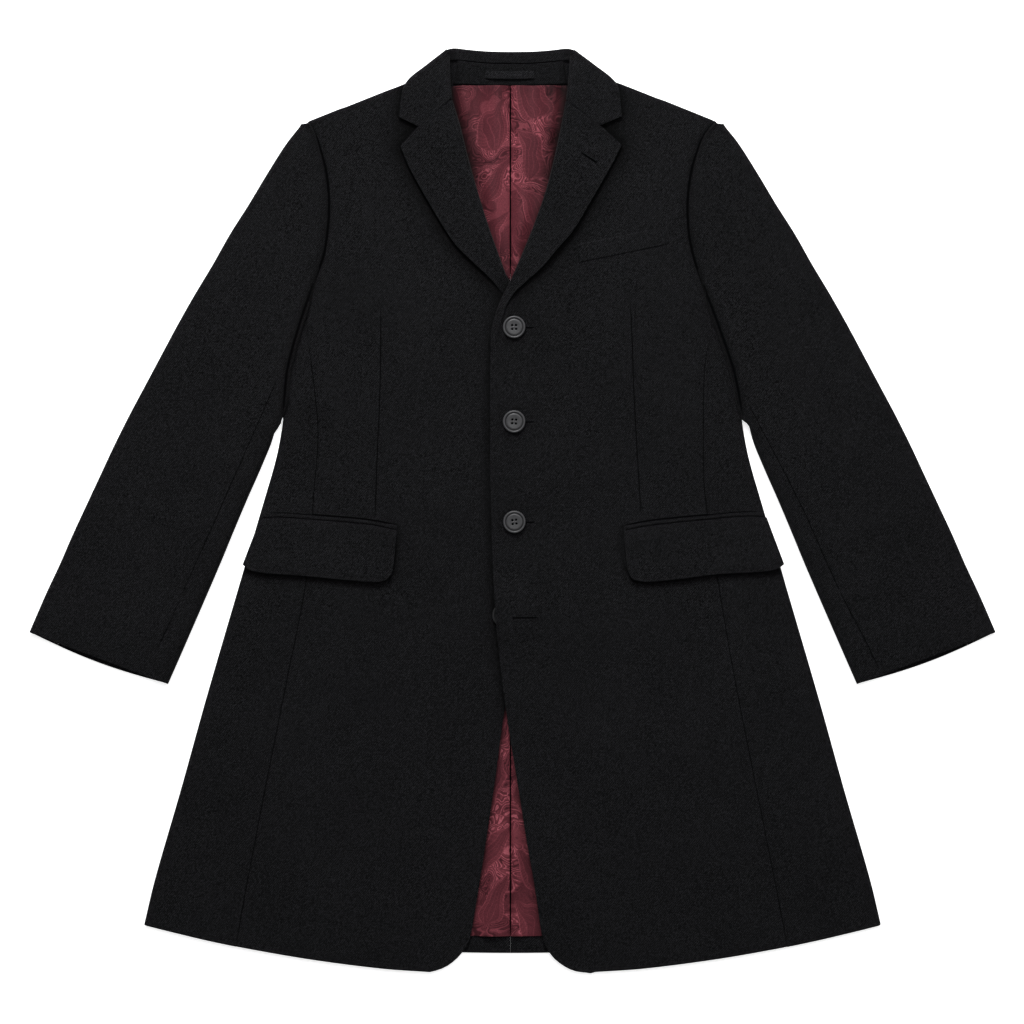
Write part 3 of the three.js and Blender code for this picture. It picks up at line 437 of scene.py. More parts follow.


# Base colour times the 'shade' attribute: painted shade and painted highlight
def shadedColour(tree, shader, add, colour):
    shade = add("ShaderNodeAttribute", attribute_name="shade")
    times = add("ShaderNodeVectorMath", operation="SCALE")
    tree.links.new(colour, times.inputs[0])
    tree.links.new(shade.outputs["Fac"], times.inputs["Scale"])
    tree.links.new(times.outputs["Vector"], shader.inputs["Base Color"])


def woolMaterial():
    look = {"dark": (0.0007, 0.0007, 0.0009, 1), "light": (0.0213, 0.0211, 0.0232, 1)}
    material, tree, shader, add = newMaterial("blackWool")
    link = tree.links.new
    place = add("ShaderNodeTexCoord").outputs["Object"]
    # Twill runs up to the right; the nap hides most of it
    turn = add("ShaderNodeMapping")
    turn.inputs["Rotation"].default_value = (0, 0, math.radians(42))
    link(place, turn.inputs["Vector"])
    twill = add("ShaderNodeTexWave", Scale=165.0, Distortion=3.0, Detail=2.0)
    link(turn.outputs["Vector"], twill.inputs["Vector"])
    tilt = add("ShaderNodeMapping") # tilted, so that the nap is as strong at every height
    tilt.inputs["Rotation"].default_value = (0.62, 0.47, 0.2)
    link(place, tilt.inputs["Vector"])
    nap = add("ShaderNodeTexNoise", Scale=820.0, Detail=3.0, Roughness=0.8)
    link(tilt.outputs["Vector"], nap.inputs["Vector"])
    melange = add("ShaderNodeTexNoise", Scale=380.0, Detail=2.0, Roughness=0.7)
    link(tilt.outputs["Vector"], melange.inputs["Vector"])
    patch = add("ShaderNodeTexNoise", Scale=11.0, Detail=3.0)
    link(place, patch.inputs["Vector"])

    def weighed(value, weight, before=None):
        node = add("ShaderNodeMath", operation="MULTIPLY_ADD")
        link(value, node.inputs[0])
        node.inputs[1].default_value = weight
        if before:
            link(before, node.inputs[2])
        else:
            node.inputs[2].default_value = 0
        return node.outputs[0]
    fibres = weighed(nap.outputs["Fac"], 0.66)
    fibres = weighed(melange.outputs["Fac"], 0.17, fibres)
    fibres = weighed(twill.outputs["Fac"], 0.1, fibres)
    fibres = weighed(patch.outputs["Fac"], 0.03, fibres)
    tone = add("ShaderNodeMapRange", interpolation_type="SMOOTHSTEP")
    tone.inputs["From Min"].default_value = 0.42
    tone.inputs["From Max"].default_value = 0.63
    link(fibres, tone.inputs["Value"])
    colour = add("ShaderNodeMix", data_type="RGBA")
    for socket in colour.inputs:
        if socket.type == "RGBA":
            socket.default_value = look["dark"] if socket.name == "A" else look["light"]
    link(tone.outputs["Result"], colour.inputs["Factor"])
    shadedColour(tree, shader, add, [s for s in colour.outputs if s.type == "RGBA"][0])
    bump = add("ShaderNodeBump", Strength=0.5, Distance=0.0004)
    link(fibres, bump.inputs["Height"])
    link(bump.outputs["Normal"], shader.inputs["Normal"])
    shader.inputs["Roughness"].default_value = 0.95
    shader.inputs["Specular IOR Level"].default_value = 0.05
    shader.inputs["Sheen Weight"].default_value = 0.02
    shader.inputs["Sheen Roughness"].default_value = 0.5
    return material


def satinMaterial():
    tones = [
        (0, (0.024, 0.0056, 0.0078, 1)), (0.35, (0.073, 0.0165, 0.0222, 1)),
        (0.62, (0.128, 0.0282, 0.0374, 1)), (0.82, (0.190, 0.0440, 0.0570, 1)), (1, (0.36, 0.094, 0.118, 1)),
    ]
    repeat = {"wide": 0.046, "high": 0.062}
    material, tree, shader, add = newMaterial("burgundyJacquard")
    link = tree.links.new

    def calc(operation, *values):
        node = add("ShaderNodeMath", operation=operation)
        for socket, value in zip(node.inputs, values):
            if isinstance(value, (int, float)):
                socket.default_value = value
            else:
                link(value, socket)
        return node.outputs[0]

    def plus(a, b):
        return calc("ADD", a, b)

    def minus(a, b):
        return calc("SUBTRACT", a, b)

    def times(a, b):
        return calc("MULTIPLY", a, b)

    def soft(value, low, high): # 0 below low, 1 above high
        node = add("ShaderNodeMapRange", interpolation_type="SMOOTHSTEP")
        node.inputs["From Min"].default_value = low
        node.inputs["From Max"].default_value = high
        link(value, node.inputs["Value"])
        return node.outputs["Result"]

    def stripes(value, count, share): # thin lines along equal values
        wave = calc("ABSOLUTE", minus(calc("FRACT", times(value, count)), 0.5))
        return minus(1, soft(wave, share * 0.5, share))

    place = add("ShaderNodeTexCoord").outputs["Object"]
    drift = add("ShaderNodeTexNoise", Scale=21.0, Detail=1.5)
    link(place, drift.inputs["Vector"])
    apart = add("ShaderNodeSeparateXYZ")
    link(place, apart.inputs[0])
    away = add("ShaderNodeSeparateXYZ")
    link(drift.outputs["Color"], away.inputs[0])
    x = plus(apart.outputs[0], times(minus(away.outputs[0], 0.5), 0.042))
    y = plus(apart.outputs[1], times(minus(away.outputs[1], 0.5), 0.046))
    column = calc("DIVIDE", x, repeat["wide"])
    # Every other column drops half a repeat and is mirrored
    odd = calc("PINGPONG", calc("FLOOR", column), 1.0)
    up = plus(calc("DIVIDE", y, repeat["high"]), times(odd, 0.5))
    px = times(minus(calc("FRACT", column), 0.5), minus(times(odd, 2), 1))
    py = minus(calc("FRACT", up), 0.5)
    # A curled drop: t runs from the tip of its tail to its round head, d outward from its middle line
    t = calc("MINIMUM", calc("MAXIMUM", calc("DIVIDE", minus(0.45, py), 0.9), 0.001), 0.999)
    curl = times(calc("POWER", minus(1, t), 2), 0.5)
    width = times(times(t, calc("SQRT", minus(1, t))), 0.8)
    d = calc("DIVIDE", calc("ABSOLUTE", minus(plus(px, 0.1), curl)), width)
    inDrop = minus(1, soft(d, 0.96, 1.06))
    # Scrolls flow round the drops
    flow = add("ShaderNodeTexNoise", Scale=24.0, Detail=1.6, Distortion=1.1)
    link(place, flow.inputs["Vector"])
    spread = plus(flow.outputs["Fac"], times(calc("MINIMUM", d, 3), 0.05))
    region = add("ShaderNodeTexNoise", Scale=17.0, Detail=2.0, Distortion=0.6)
    link(place, region.inputs["Vector"])
    busy = soft(region.outputs["Fac"], 0.36, 0.5)
    lines = times(stripes(spread, 21, 0.2), plus(times(busy, 0.85), 0.1))
    dark = times(stripes(plus(spread, 0.016), 21, 0.22), plus(times(busy, 0.8), 0.14))
    fills = soft(minus(flow.outputs["Fac"], times(region.outputs["Fac"], 0.25)), 0.385, 0.42)
    tone = minus(0.64, times(fills, 0.24))
    tone = plus(tone, times(lines, 0.3))
    tone = minus(tone, times(dark, 0.26))
    heart = minus(1, soft(d, 0.5, 0.62))
    rings = stripes(d, 2.6, 0.1)
    hatch = stripes(plus(py, times(d, 0.08)), 19, 0.3)
    drop = minus(0.56, times(heart, 0.16))
    drop = minus(drop, times(times(hatch, minus(1, heart)), 0.1))
    drop = plus(drop, times(rings, 0.16))
    tone = plus(times(tone, minus(1, inDrop)), times(drop, inDrop))
    rim = times(inDrop, soft(d, 0.86, 0.92))
    tone = plus(tone, times(rim, 0.14))
    weave = add("ShaderNodeTexNoise", Scale=900.0, Detail=2.0, Roughness=0.7)
    link(place, weave.inputs["Vector"])
    cloud = add("ShaderNodeTexNoise", Scale=30.0, Detail=2.0)
    link(place, cloud.inputs["Vector"])
    tone = plus(tone, times(minus(weave.outputs["Fac"], 0.5), 0.75))
    tone = plus(tone, times(minus(cloud.outputs["Fac"], 0.5), 0.3))
    ramp = add("ShaderNodeValToRGB")
    for number, (at, colour) in enumerate(tones):
        stop = ramp.color_ramp.elements[number] if number < 2 else ramp.color_ramp.elements.new(at)
        stop.position = at
        stop.color = colour
    link(tone, ramp.inputs["Fac"])
    shadedColour(tree, shader, add, ramp.outputs["Color"])
    bump = add("ShaderNodeBump", Strength=0.35, Distance=0.00012)
    link(tone, bump.inputs["Height"])
    link(bump.outputs["Normal"], shader.inputs["Normal"])
    shader.inputs["Roughness"].default_value = 0.44
    shader.inputs["Specular IOR Level"].default_value = 0.06
    shader.inputs["Sheen Weight"].default_value = 0.0
    return material


def plainMaterial(name, colour, other, roughness, scale, depth):
    material, tree, shader, add = newMaterial(name)
    link = tree.links.new
    place = add("ShaderNodeTexCoord").outputs["Object"]
    cloud = add("ShaderNodeTexNoise", Scale=scale, Detail=4.0, Roughness=0.6)
    link(place, cloud.inputs["Vector"])
    mixed = add("ShaderNodeMix", data_type="RGBA")
    for socket in mixed.inputs:
        if socket.type == "RGBA":
            socket.default_value = colour if socket.name == "A" else other
    link(cloud.outputs["Fac"], mixed.inputs["Factor"])
    shadedColour(tree, shader, add, [s for s in mixed.outputs if s.type == "RGBA"][0])
    bump = add("ShaderNodeBump", Strength=0.3, Distance=depth)
    link(cloud.outputs["Fac"], bump.inputs["Height"])
    link(bump.outputs["Normal"], shader.inputs["Normal"])
    shader.inputs["Roughness"].default_value = roughness
    shader.inputs["Specular IOR Level"].default_value = 0.1 if roughness > 0.6 else 0.4
    return material


blackWool = woolMaterial()
burgundySatin = satinMaterial()
greyHorn = plainMaterial("greyHorn", (0.026, 0.026, 0.028, 1), (0.046, 0.046, 0.049, 1), 0.4, 160.0, 0.00006)
# Near-black for real thread, and for the strips laid in seams and slits as painted shade
blackThreadAndShade = plainMaterial("blackThreadAndShade", (0.0004, 0.0004, 0.0005, 1), (0.0016, 0.0016, 0.0019, 1),
                            0.9, 1800.0, 0.0002)
blackThreadAndShade.node_tree.nodes["Principled BSDF"].inputs["Specular IOR Level"].default_value = 0.02
print("materials made")


# Camera, light and floor
cameraHeight = 4.0
seenWidth = 1.1469 # metres across the picture
camera = bpy.data.objects.new("camera", bpy.data.cameras.new("camera"))
camera.location = (-0.56 * mm, (originShift - 2.24) * mm, cameraHeight)
camera.data.sensor_width = 36
camera.data.lens = 36 * cameraHeight / seenWidth
bpy.context.scene.collection.objects.link(camera)
bpy.context.scene.camera = camera
bpy.context.scene.view_settings.view_transform = "Standard"
bpy.context.scene.view_settings.look = "None"

lights = [
    {"name": "keyLight", "at": (-0.4, 2.7, 2.0), "size": 1.2, "power": 118},
    {"name": "fillLight", "at": (0.7, 1.3, 3.2), "size": 2.2, "power": 34},
]
for lamp in lights:
    data = bpy.data.lights.new(lamp["name"], "AREA")
    data.shape = "DISK"
    data.size = lamp["size"]
    data.energy = lamp["power"]
    lightObject = bpy.data.objects.new(lamp["name"], data)
    lightObject.location = lamp["at"]
    lightObject.rotation_euler = (Vector(lamp["at"]) * -1).to_track_quat("-Z", "Y").to_euler()
    bpy.context.scene.collection.objects.link(lightObject)
world = bpy.data.worlds.new("softWorld")
world.use_nodes = True
world.node_tree.nodes["Background"].inputs["Color"].default_value = (1, 1, 1, 1)
world.node_tree.nodes["Background"].inputs["Strength"].default_value = 0.3
bpy.context.scene.world = world

floorMesh = bmesh.new()
bmesh.ops.create_grid(floorMesh, x_segments=1, y_segments=1, size=4)
floorData = bpy.data.meshes.new("floor")
floorMesh.to_mesh(floorData)
floorMesh.free()
paleFloor = plainMaterial("paleFloor", (0.93, 0.93, 0.93, 1), (0.95, 0.95, 0.95, 1), 0.9, 3.0, 0.0001)
# The white sheet under the coat is lit through, and shows next to no shadow
floorShader = paleFloor.node_tree.nodes["Principled BSDF"]
floorShader.inputs["Emission Color"].default_value = (1, 1, 1, 1)
floorShader.inputs["Emission Strength"].default_value = 0.7
floorData.materials.append(paleFloor)
floor = bpy.data.objects.new("floor", floorData)
floor.location.z = -0.0004
paint(floor, lambda x, y: 1.0)
bpy.context.scene.collection.objects.link(floor)
print("camera, light and floor made")


# Heights of the upper layers
looseButton = {"x": -10.1, "y": -117.6}
slitHeight = -120.3 # of the fourth buttonhole


def overlapLift(x, y):
    hidden = 26 if y > 0 else read(rightEdge[6:15], "y", max(-438, y), "x")
    return step * (1 - smoothStep(x, hidden + 6, hidden + 34)) * (1 - smoothStep(y, breakHeight, 300))


def buttonLift(x, y):
    away = math.hypot(x - looseButton["x"], y - looseButton["y"])
    return 4.6 * (1 - smoothStep(away, 15, 50))


def frontHeight(side, x, y):
    height = frontLevel + bodyWave(x, y)
    return height if side < 0 else height + overlapLift(x, y) + buttonLift(x, y)


def slitTop(x, y):
    return frontHeight(1, x, y) + 0.25


def sideKey(side):
    return "right" if side < 0 else "left"


def armholeAt(side, y):
    return read(armhole, "y", max(pit, y), sideKey(side))


def frontSeam(side, y):
    return read(sideSeam, "y", min(seamTop, y), sideKey(side))


def backSeamAt(y):
    return read(backSeam, "y", min(seamTop, y), "x")


def armRoll(y): # 1 where the sleeve rolls over the body
    return smoothStep(y, 96, 130) * (1 - smoothStep(y, 236, 276))


def reachesArm(y): # above the strips, front and back run out to the armhole
    return smoothStep(y, stripTop - 4, stripTop)


def frontArm(side, y):
    return armholeAt(side, y) - armGap + underRoll * armRoll(y)


def frontSide(side, y):
    return mix(frontSeam(side, y) - 0.02, frontArm(side, y), reachesArm(y))


def backSide(side, y):
    return mix(backSeamAt(y) - seamGap / 2, armholeAt(side, y) - armGap, reachesArm(y))


def shoulderHeight(x):
    fall = (shoulderNeck["y"] - shoulderTip["y"]) / (shoulderTip["x"] - shoulderNeck["x"])
    return shoulderNeck["y"] - (abs(x) - shoulderNeck["x"]) * fall


def backHem(x):
    return -495.9 + 32 * (abs(x - centreX) / 412) ** 2


def sunk(away, deep=0.5, wide=3.0): # cloth dips beside a seam
    return -deep * math.exp(-((away / wide) ** 2))


# Back and its lining
def makeBack(side, name):
    middle = centreX + side * 0.02
    rise = backHemSide - backHem(side * backSide(side, backHemSide))
    near = across(middle, side * backSide(side, backHemSide), lambda x: backHem(x) + rise * abs(x / 281))
    end = stationed(evenly(60, backHemSide, tipHeight), lambda y: backSide(side, y), side)
    neck = foldMiddle - fallHeight - 2
    far = cornered([(middle, neck, 0), (side * 70, neck, 0), (side * 119.8, neck + 3, 0),
                    (side * 124, shoulderHeight(124), 0), end(1)])

    def start(v):
        return Vector((middle, mix(near(0).y, neck, v), 0))
    plan = inside(near, far, start, end)

    def place(u, v):
        p = plan(u, v)
        p.z = backLevel
        return p
    woolPiece(name, evenly(36), evenly(80), place, [name])


def makeBackLining(side, name):
    middle = centreX + side * 0.3
    margin = 14
    roll = leftRoll if side > 0 else rightRoll
    frontEdge = leftEdge if side > 0 else rightEdge
    near = across(middle, side * (backSeamAt(backHemSide) - margin), lambda x: backHem(x) + liningRise)
    end = stationed(evenly(30, near(1).y, 400), lambda y: backSide(side, y) - margin, side)
    neck = liningTop - seamGap
    far = cornered([(middle, neck, 0), (side * 60, neck, 0), (side * 96, neck - 6, 0), end(1)])

    def start(v):
        return Vector((middle, mix(near(0).y, neck, v), 0))
    plan = inside(near, far, start, end)

    def place(u, v):
        p = plan(u, v)
        away = abs(p.x - middle)
        edgeX = 0
        if p.y > breakHeight:
            edgeX = abs(read(roll, "y", min(480, p.y), "x"))
        elif p.y < closedFoot:
            edgeX = abs(read(frontEdge, "y", max(-470, p.y), "x"))
        free = 1 - smoothStep(abs(p.x), edgeX - 16, edgeX - 2)
        long = p.x * 0.16 + 0.9 * math.sin(p.y * 0.012 + side) + side * 0.8
        soft = 1.5 * math.sin(long) + 0.5 * math.sin(p.y * 0.045 + p.x * 0.06)
        p.z = liningLevel - 0.1 + free * (2.4 + 1.1 * soft) * smoothStep(away, -2, 9) - 0.7 * math.exp(-away)
        return p
    clothPiece(name, evenly(70), evenly(180), place, satin, burgundySatin, [name])


# Fronts, with a dart in each
def makeFront(side, name):
    edge = leftEdge if side > 0 else rightEdge
    roll = leftRoll if side > 0 else rightRoll
    dart = leftDart if side > 0 else rightDart
    start = line(edge[:-1] + [{"x": p["x"] + side * 5, "y": p["y"]} for p in roll[1:]])
    near = across(start(0).x, side * frontSide(side, frontHemSide),
                  lambda x: read(frontHem, "x", abs(x), "y"))
    end = stationed(evenly(120, near(1).y, tipHeight), lambda y: frontSide(side, y), side)
    far = cornered([start(1), (side * (shoulderNeck["x"] + 4), shoulderNeck["y"] - 1.6, 0), end(1)])
    plan = inside(near, far, start, end)
    turn = 2.0
    rows = evenly(150)[:-1] + [1 - d / 950 for d in (3.0, 2.0, 1.2, 0.6, 0.2, 0)]
    dartShare = {}
    for v in rows: # where each row crosses the line of the dart
        low, high = 0.05, 0.95
        for k in range(18):
            middle = (low + high) / 2
            p = plan(middle, v)
            if side * (p.x - read(dart, "y", p.y, "x")) < 0:
                low = middle
            else:
                high = middle
        dartShare[v] = min(0.9, max(0.2, low))
    beside = [0.484, 0.492, 0.4955, 0.498, 0.5, 0.502, 0.5045, 0.508, 0.516]
    columns = evenly(30, 0, 0.47) + beside + evenly(26, 0.53, 1)

    def place(s, v):
        share = dartShare[v]
        u = s / 0.5 * share if s < 0.5 else share + (s - 0.5) / 0.5 * (1 - share)
        p = plan(u, v)
        below = max(0.0, shoulderHeight(p.x) - p.y - half)
        over = max(0.0, 1 - below / turn)
        dartEnds = smoothStep(p.y, -14, 4) * (1 - smoothStep(p.y, 218, 236))
        groove = sunk(s - 0.5, 0.85, 0.0034) + sunk(s - 0.5, 0.4, 0.03)
        groove += -0.35 * math.exp(-(u * 60) ** 2) if p.y < 250 else 0
        seamDip = sunk((1 - u) * 230, 0.7 + 0.7 * smoothStep(p.y, 190, 230), 4.5)
        p.z = frontHeight(side, p.x, p.y) + groove * dartEnds + seamDip
        p.z -= turn * (1 - math.sqrt(1 - min(1.0, over * over)))
        return p
    woolPiece(name, columns, rows, place, [name])


def makeSidePanel(side, name, stripName):
    # Three parts: the front's share, the bend round the side and the back's share
    columns = [(0, s) for s in evenly(16)] + [(1, s) for s in evenly(10)[1:]]
    columns += [(2, s) for s in evenly(8)[1:]]

    def section(y, part, share):
        radius = (frontLevel - backLevel) / 2 + 0.35
        outer = read(bodySide, "y", y, "x") - half - radius
        seam = frontSeam(side, y) + 0.02
        back = backSeamAt(y) + seamGap / 2
        if part == 0:
            return mix(seam, outer, share), frontLevel
        if part == 2:
            return mix(outer, back, share), backLevel
        angle = math.pi * share
        return outer + radius * math.sin(angle), mix(frontLevel, backLevel, (1 - math.cos(angle)) / 2)

    def hemOf(part, share):
        x = section(-478, part, share)[0]
        above, below = read(frontHem, "x", x, "y"), backHem(side * x)
        return mix(above, below, 0 if part == 0 else 1 if part == 2 else share)
    hems = [hemOf(*c) for c in columns]

    def place(k, v):
        part, share = columns[k]
        y = mix(pit, hems[k], v)
        x, z = section(y, part, share)
        upper = 1 - smoothStep(share, 0.75, 1.0) * 0.5 if part == 0 else 0.5 * (1 - share) if part == 1 else 0
        dip = sunk(share * 60, 0.35, 3.5) if part == 0 else 0
        return Vector((side * x, y, z + upper * bodyWave(side * x, y) + dip))
    woolPiece(name, list(range(len(columns))), evenly(110), place, [name])

    def placeStrip(u, v):
        y = mix(pit - 2, stripTop, v)
        low = frontSeam(side, y) + seamGap / 2
        high = max(low + 1.2, frontArm(side, y))
        p = Vector((side * mix(low, high, u), y, 0))
        p.z = frontLevel + bodyWave(p.x, y) + sunk(u * (high - low), 0.35, 3.5)
        return p
    woolPiece(stripName, evenly(8), evenly(24), placeStrip, [])

    def placeUnder(u, v):
        y = mix(pit - 2, stripTop - 2, v)
        low = backSeamAt(y) + seamGap / 2
        return Vector((side * mix(low, armholeAt(side, y) - armGap, u), y, backLevel))
    woolPiece(stripName + "_back", evenly(6), evenly(20), placeUnder, [])


# Lapels roll softly over the fronts' edges. Below the break a lapel runs out along the front's edge:
# these rows lie beneath those of the tables
lapelFoot = {
    "leftEdge": table("x y", [(-22, 182), (-15.6, 205), (-7, 231)]),
    "leftRoll": table("x y", [(-25, 182), (-22, 206), (-13, 234)]),
    "rightEdge": table("x y", [(-1, 233)]), "rightRoll": table("x y", [(3, 243)]),
}


def makeLapel(side, name):
    key = sideKey(side)
    upperRoll = table("x y", [(-2.6, 254.6)]) + leftRoll[1:] if side > 0 else rightRoll
    near = line(lapelFoot[key + "Edge"] + (leftLapelEdge if side > 0 else rightLapelEdge))
    far = line(lapelFoot[key + "Roll"] + upperRoll[:-1])
    top = cornered(leftLapelTop if side > 0 else rightLapelTop)
    plan = inside(near, far, cornered([near(0), far(0)]), top)
    turned = [(0, 0), (0.25, 0.06), (0.6, 0.35), (0.95, 0.95), (1.2, 1.8), (1.2, 3.0), (0.9, 3.8)]

    def place(v, u): # v runs in from the free edge; past 1 it goes down round the roll
        flat = min(v, 1)
        p = plan(u, flat)
        foot = smoothStep(p.y, 184, 240) if side > 0 else smoothStep(p.y, 240, 266)
        ends = smoothStep(p.y, 236, 285)
        lift = 0.2 + (2.1 + 1.9 * smoothStep(flat, 0.15, 1)) * ends * (1 - 0.62 * smoothStep(u, 0.8, 1))
        level = step * (1 - smoothStep(p.y, 270, 330)) if side > 0 else 0
        inward, down = turned[int(round((v - 1) * 10))] if v >= 1 else (0, 0)
        p.x += side * (half - inward * (0.3 + 0.7 * ends))
        p.z = turnedLevel + level + bodyWave(p.x, p.y) + lift - down * (2.7 + lift) / 3.6 * foot
        p.z += sunk((1 - flat) * 20, 0.15, 6) + 0.35 * math.exp(-((flat * 60) / 9) ** 2)
        p.z -= (2.5 if side > 0 else 2.9) * (1 - foot)
        return p
    columns = evenly(40) + [1 + k / 10 for k in range(1, 7)]
    woolPiece(name, columns, evenly(90), place, [name])


# Collar: a leaf on each front, and behind the neck the fold and the fall
def points(rows, side):
    return [Vector((*row[sideKey(side)], 0)) for row in rows]


def makeLeaf(side, name, nodes):
    outer = line(points(collarLeafEdge, side))
    inner = line(points(collarLeafRoll, side))
    front = cornered(points(collarLeafFront, side))
    plan = inside(front, cornered([inner(1), outer(1)]), inner, outer)
    radius = (turnedLevel - backLevel) / 2

    def place(u, v):
        flat = min(1.0, max(0.0, u))
        p = plan(flat, v)
        soft = (1.2 + 1.4 * (1 - smoothStep(flat, 0, 0.55))) * (1 - smoothStep(v, 0.6, 1)) + 0.25
        z = turnedLevel + soft + bodyWave(p.x, p.y)
        turn = smoothStep(v, 0.3, 0.46)
        before, after = outer(max(0, v - 0.02)), outer(min(1, v + 0.02))
        along = (after - before).normalized()
        out = Vector((along.y, -along.x, 0)) * side
        p -= out * (radius * 0.7 + half) * turn * smoothStep(flat, 0.5, 1)
        if u < 0: # down round the roll at the neck
            angle = min(1.0, -u * 4) * math.pi * 0.62
            p.x += side * (half - 1.3 * math.sin(angle))
            z -= 1.9 * (1 - math.cos(angle)) + max(0.0, -u * 4 - 1) * 1.5
        elif u > 1: # round the side of the neck and under
            angle = (u - 1) * 4 * math.pi
            p += out * radius * 0.7 * math.sin(angle) * turn
            z = mix(z, mix(z, backLevel, (1 - math.cos(angle)) / 2), turn)
            z -= (1 - turn) * (u - 1) * 1.2
            p += out * (1 - turn) * (u - 1) * 1.2
        else:
            p.x += side * half * (1 - smoothStep(flat, 0, 0.1))
        p.z = z
        return p
    columns = [-0.3, -0.25, -0.2, -0.15, -0.1, -0.05] + evenly(30) + [1.05, 1.1, 1.15, 1.2, 1.25]
    woolPiece(name, columns, evenly(40), place, nodes)


def makeNeck():
    fold = line(collarFold)
    foldRadius = step / 2 + 0.15
    upperLevel = backLevel + 2 * foldRadius + 0.5

    def strip(u, v): # from the stand's seam up over the fold and down behind
        p = fold(u)
        if v <= 1:
            y = p.y - standSeamDrop + (standSeamDrop - half - foldRadius) * v
            return Vector((p.x, y, upperLevel + sunk(v * 10, 0.4, 1.6)))
        if v <= 2:
            angle = math.pi * (v - 1)
            y = p.y - half - foldRadius + foldRadius * math.sin(angle)
            return Vector((p.x, y, mix(upperLevel, backLevel, (1 - math.cos(angle)) / 2)))
        bottom = mix(fallHeight - 1, 40, min(1, abs(u - 0.5) * 2) ** 2)
        y = p.y - half - foldRadius - (bottom - 3) * (v - 2)
        spread = 1 + 0.42 * (v - 2)
        return Vector((centreX + (p.x - centreX) * spread, y, backLevel))
    rows = evenly(8) + [1 + k / 8 for k in range(1, 9)] + [2 + k / 14 for k in range(1, 15)]
    woolPiece("collar_neck", evenly(60), rows, strip, [])

    top = line([{"x": p["x"] * standShare, "y": p["y"] - standSeamDrop - 0.35} for p in collarFold[1:-1]])
    low, high = standEnds
    foot = line([(low, liningTop + 1.6, 0), (centreX, liningTop, 0), (high, liningTop + 1.6, 0)])

    def stand(u, v):
        p = foot(u).lerp(top(u), v)
        p.z = backLevel + step + 0.5 + sunk(v * 23, 0.4, 1.6) + sunk((1 - v) * 23, 0.5, 1.8)
        return p
    woolPiece("collar_stand_cloth", evenly(50), evenly(16), stand, ["collar_stand"])

    def hanger(u, v): # a narrow doubled strip, stitched down at both ends
        x = mix(-30.4, 24.1, u)
        bow = math.sin(math.pi * u)
        free = smoothStep(u, 0.06, 0.16) * (1 - smoothStep(u, 0.84, 0.94))
        y = 486.9 - 1.0 * bow + 8.3 * (v - 0.5)
        z = 6.9 + 0.8 * free + 0.5 * free * math.sin(math.pi * v)
        return Vector((x, y, z))
    woolPiece("hanger_loop_cloth", evenly(40), evenly(8), hanger, ["hanger_loop"],
              {"thick": 1.4, "roll": 0.35})


# Sleeve: two pieces of a tube that lies flat and rolls over the body below the armhole
for number, row in enumerate(sleeveSections):
    row["i"] = number


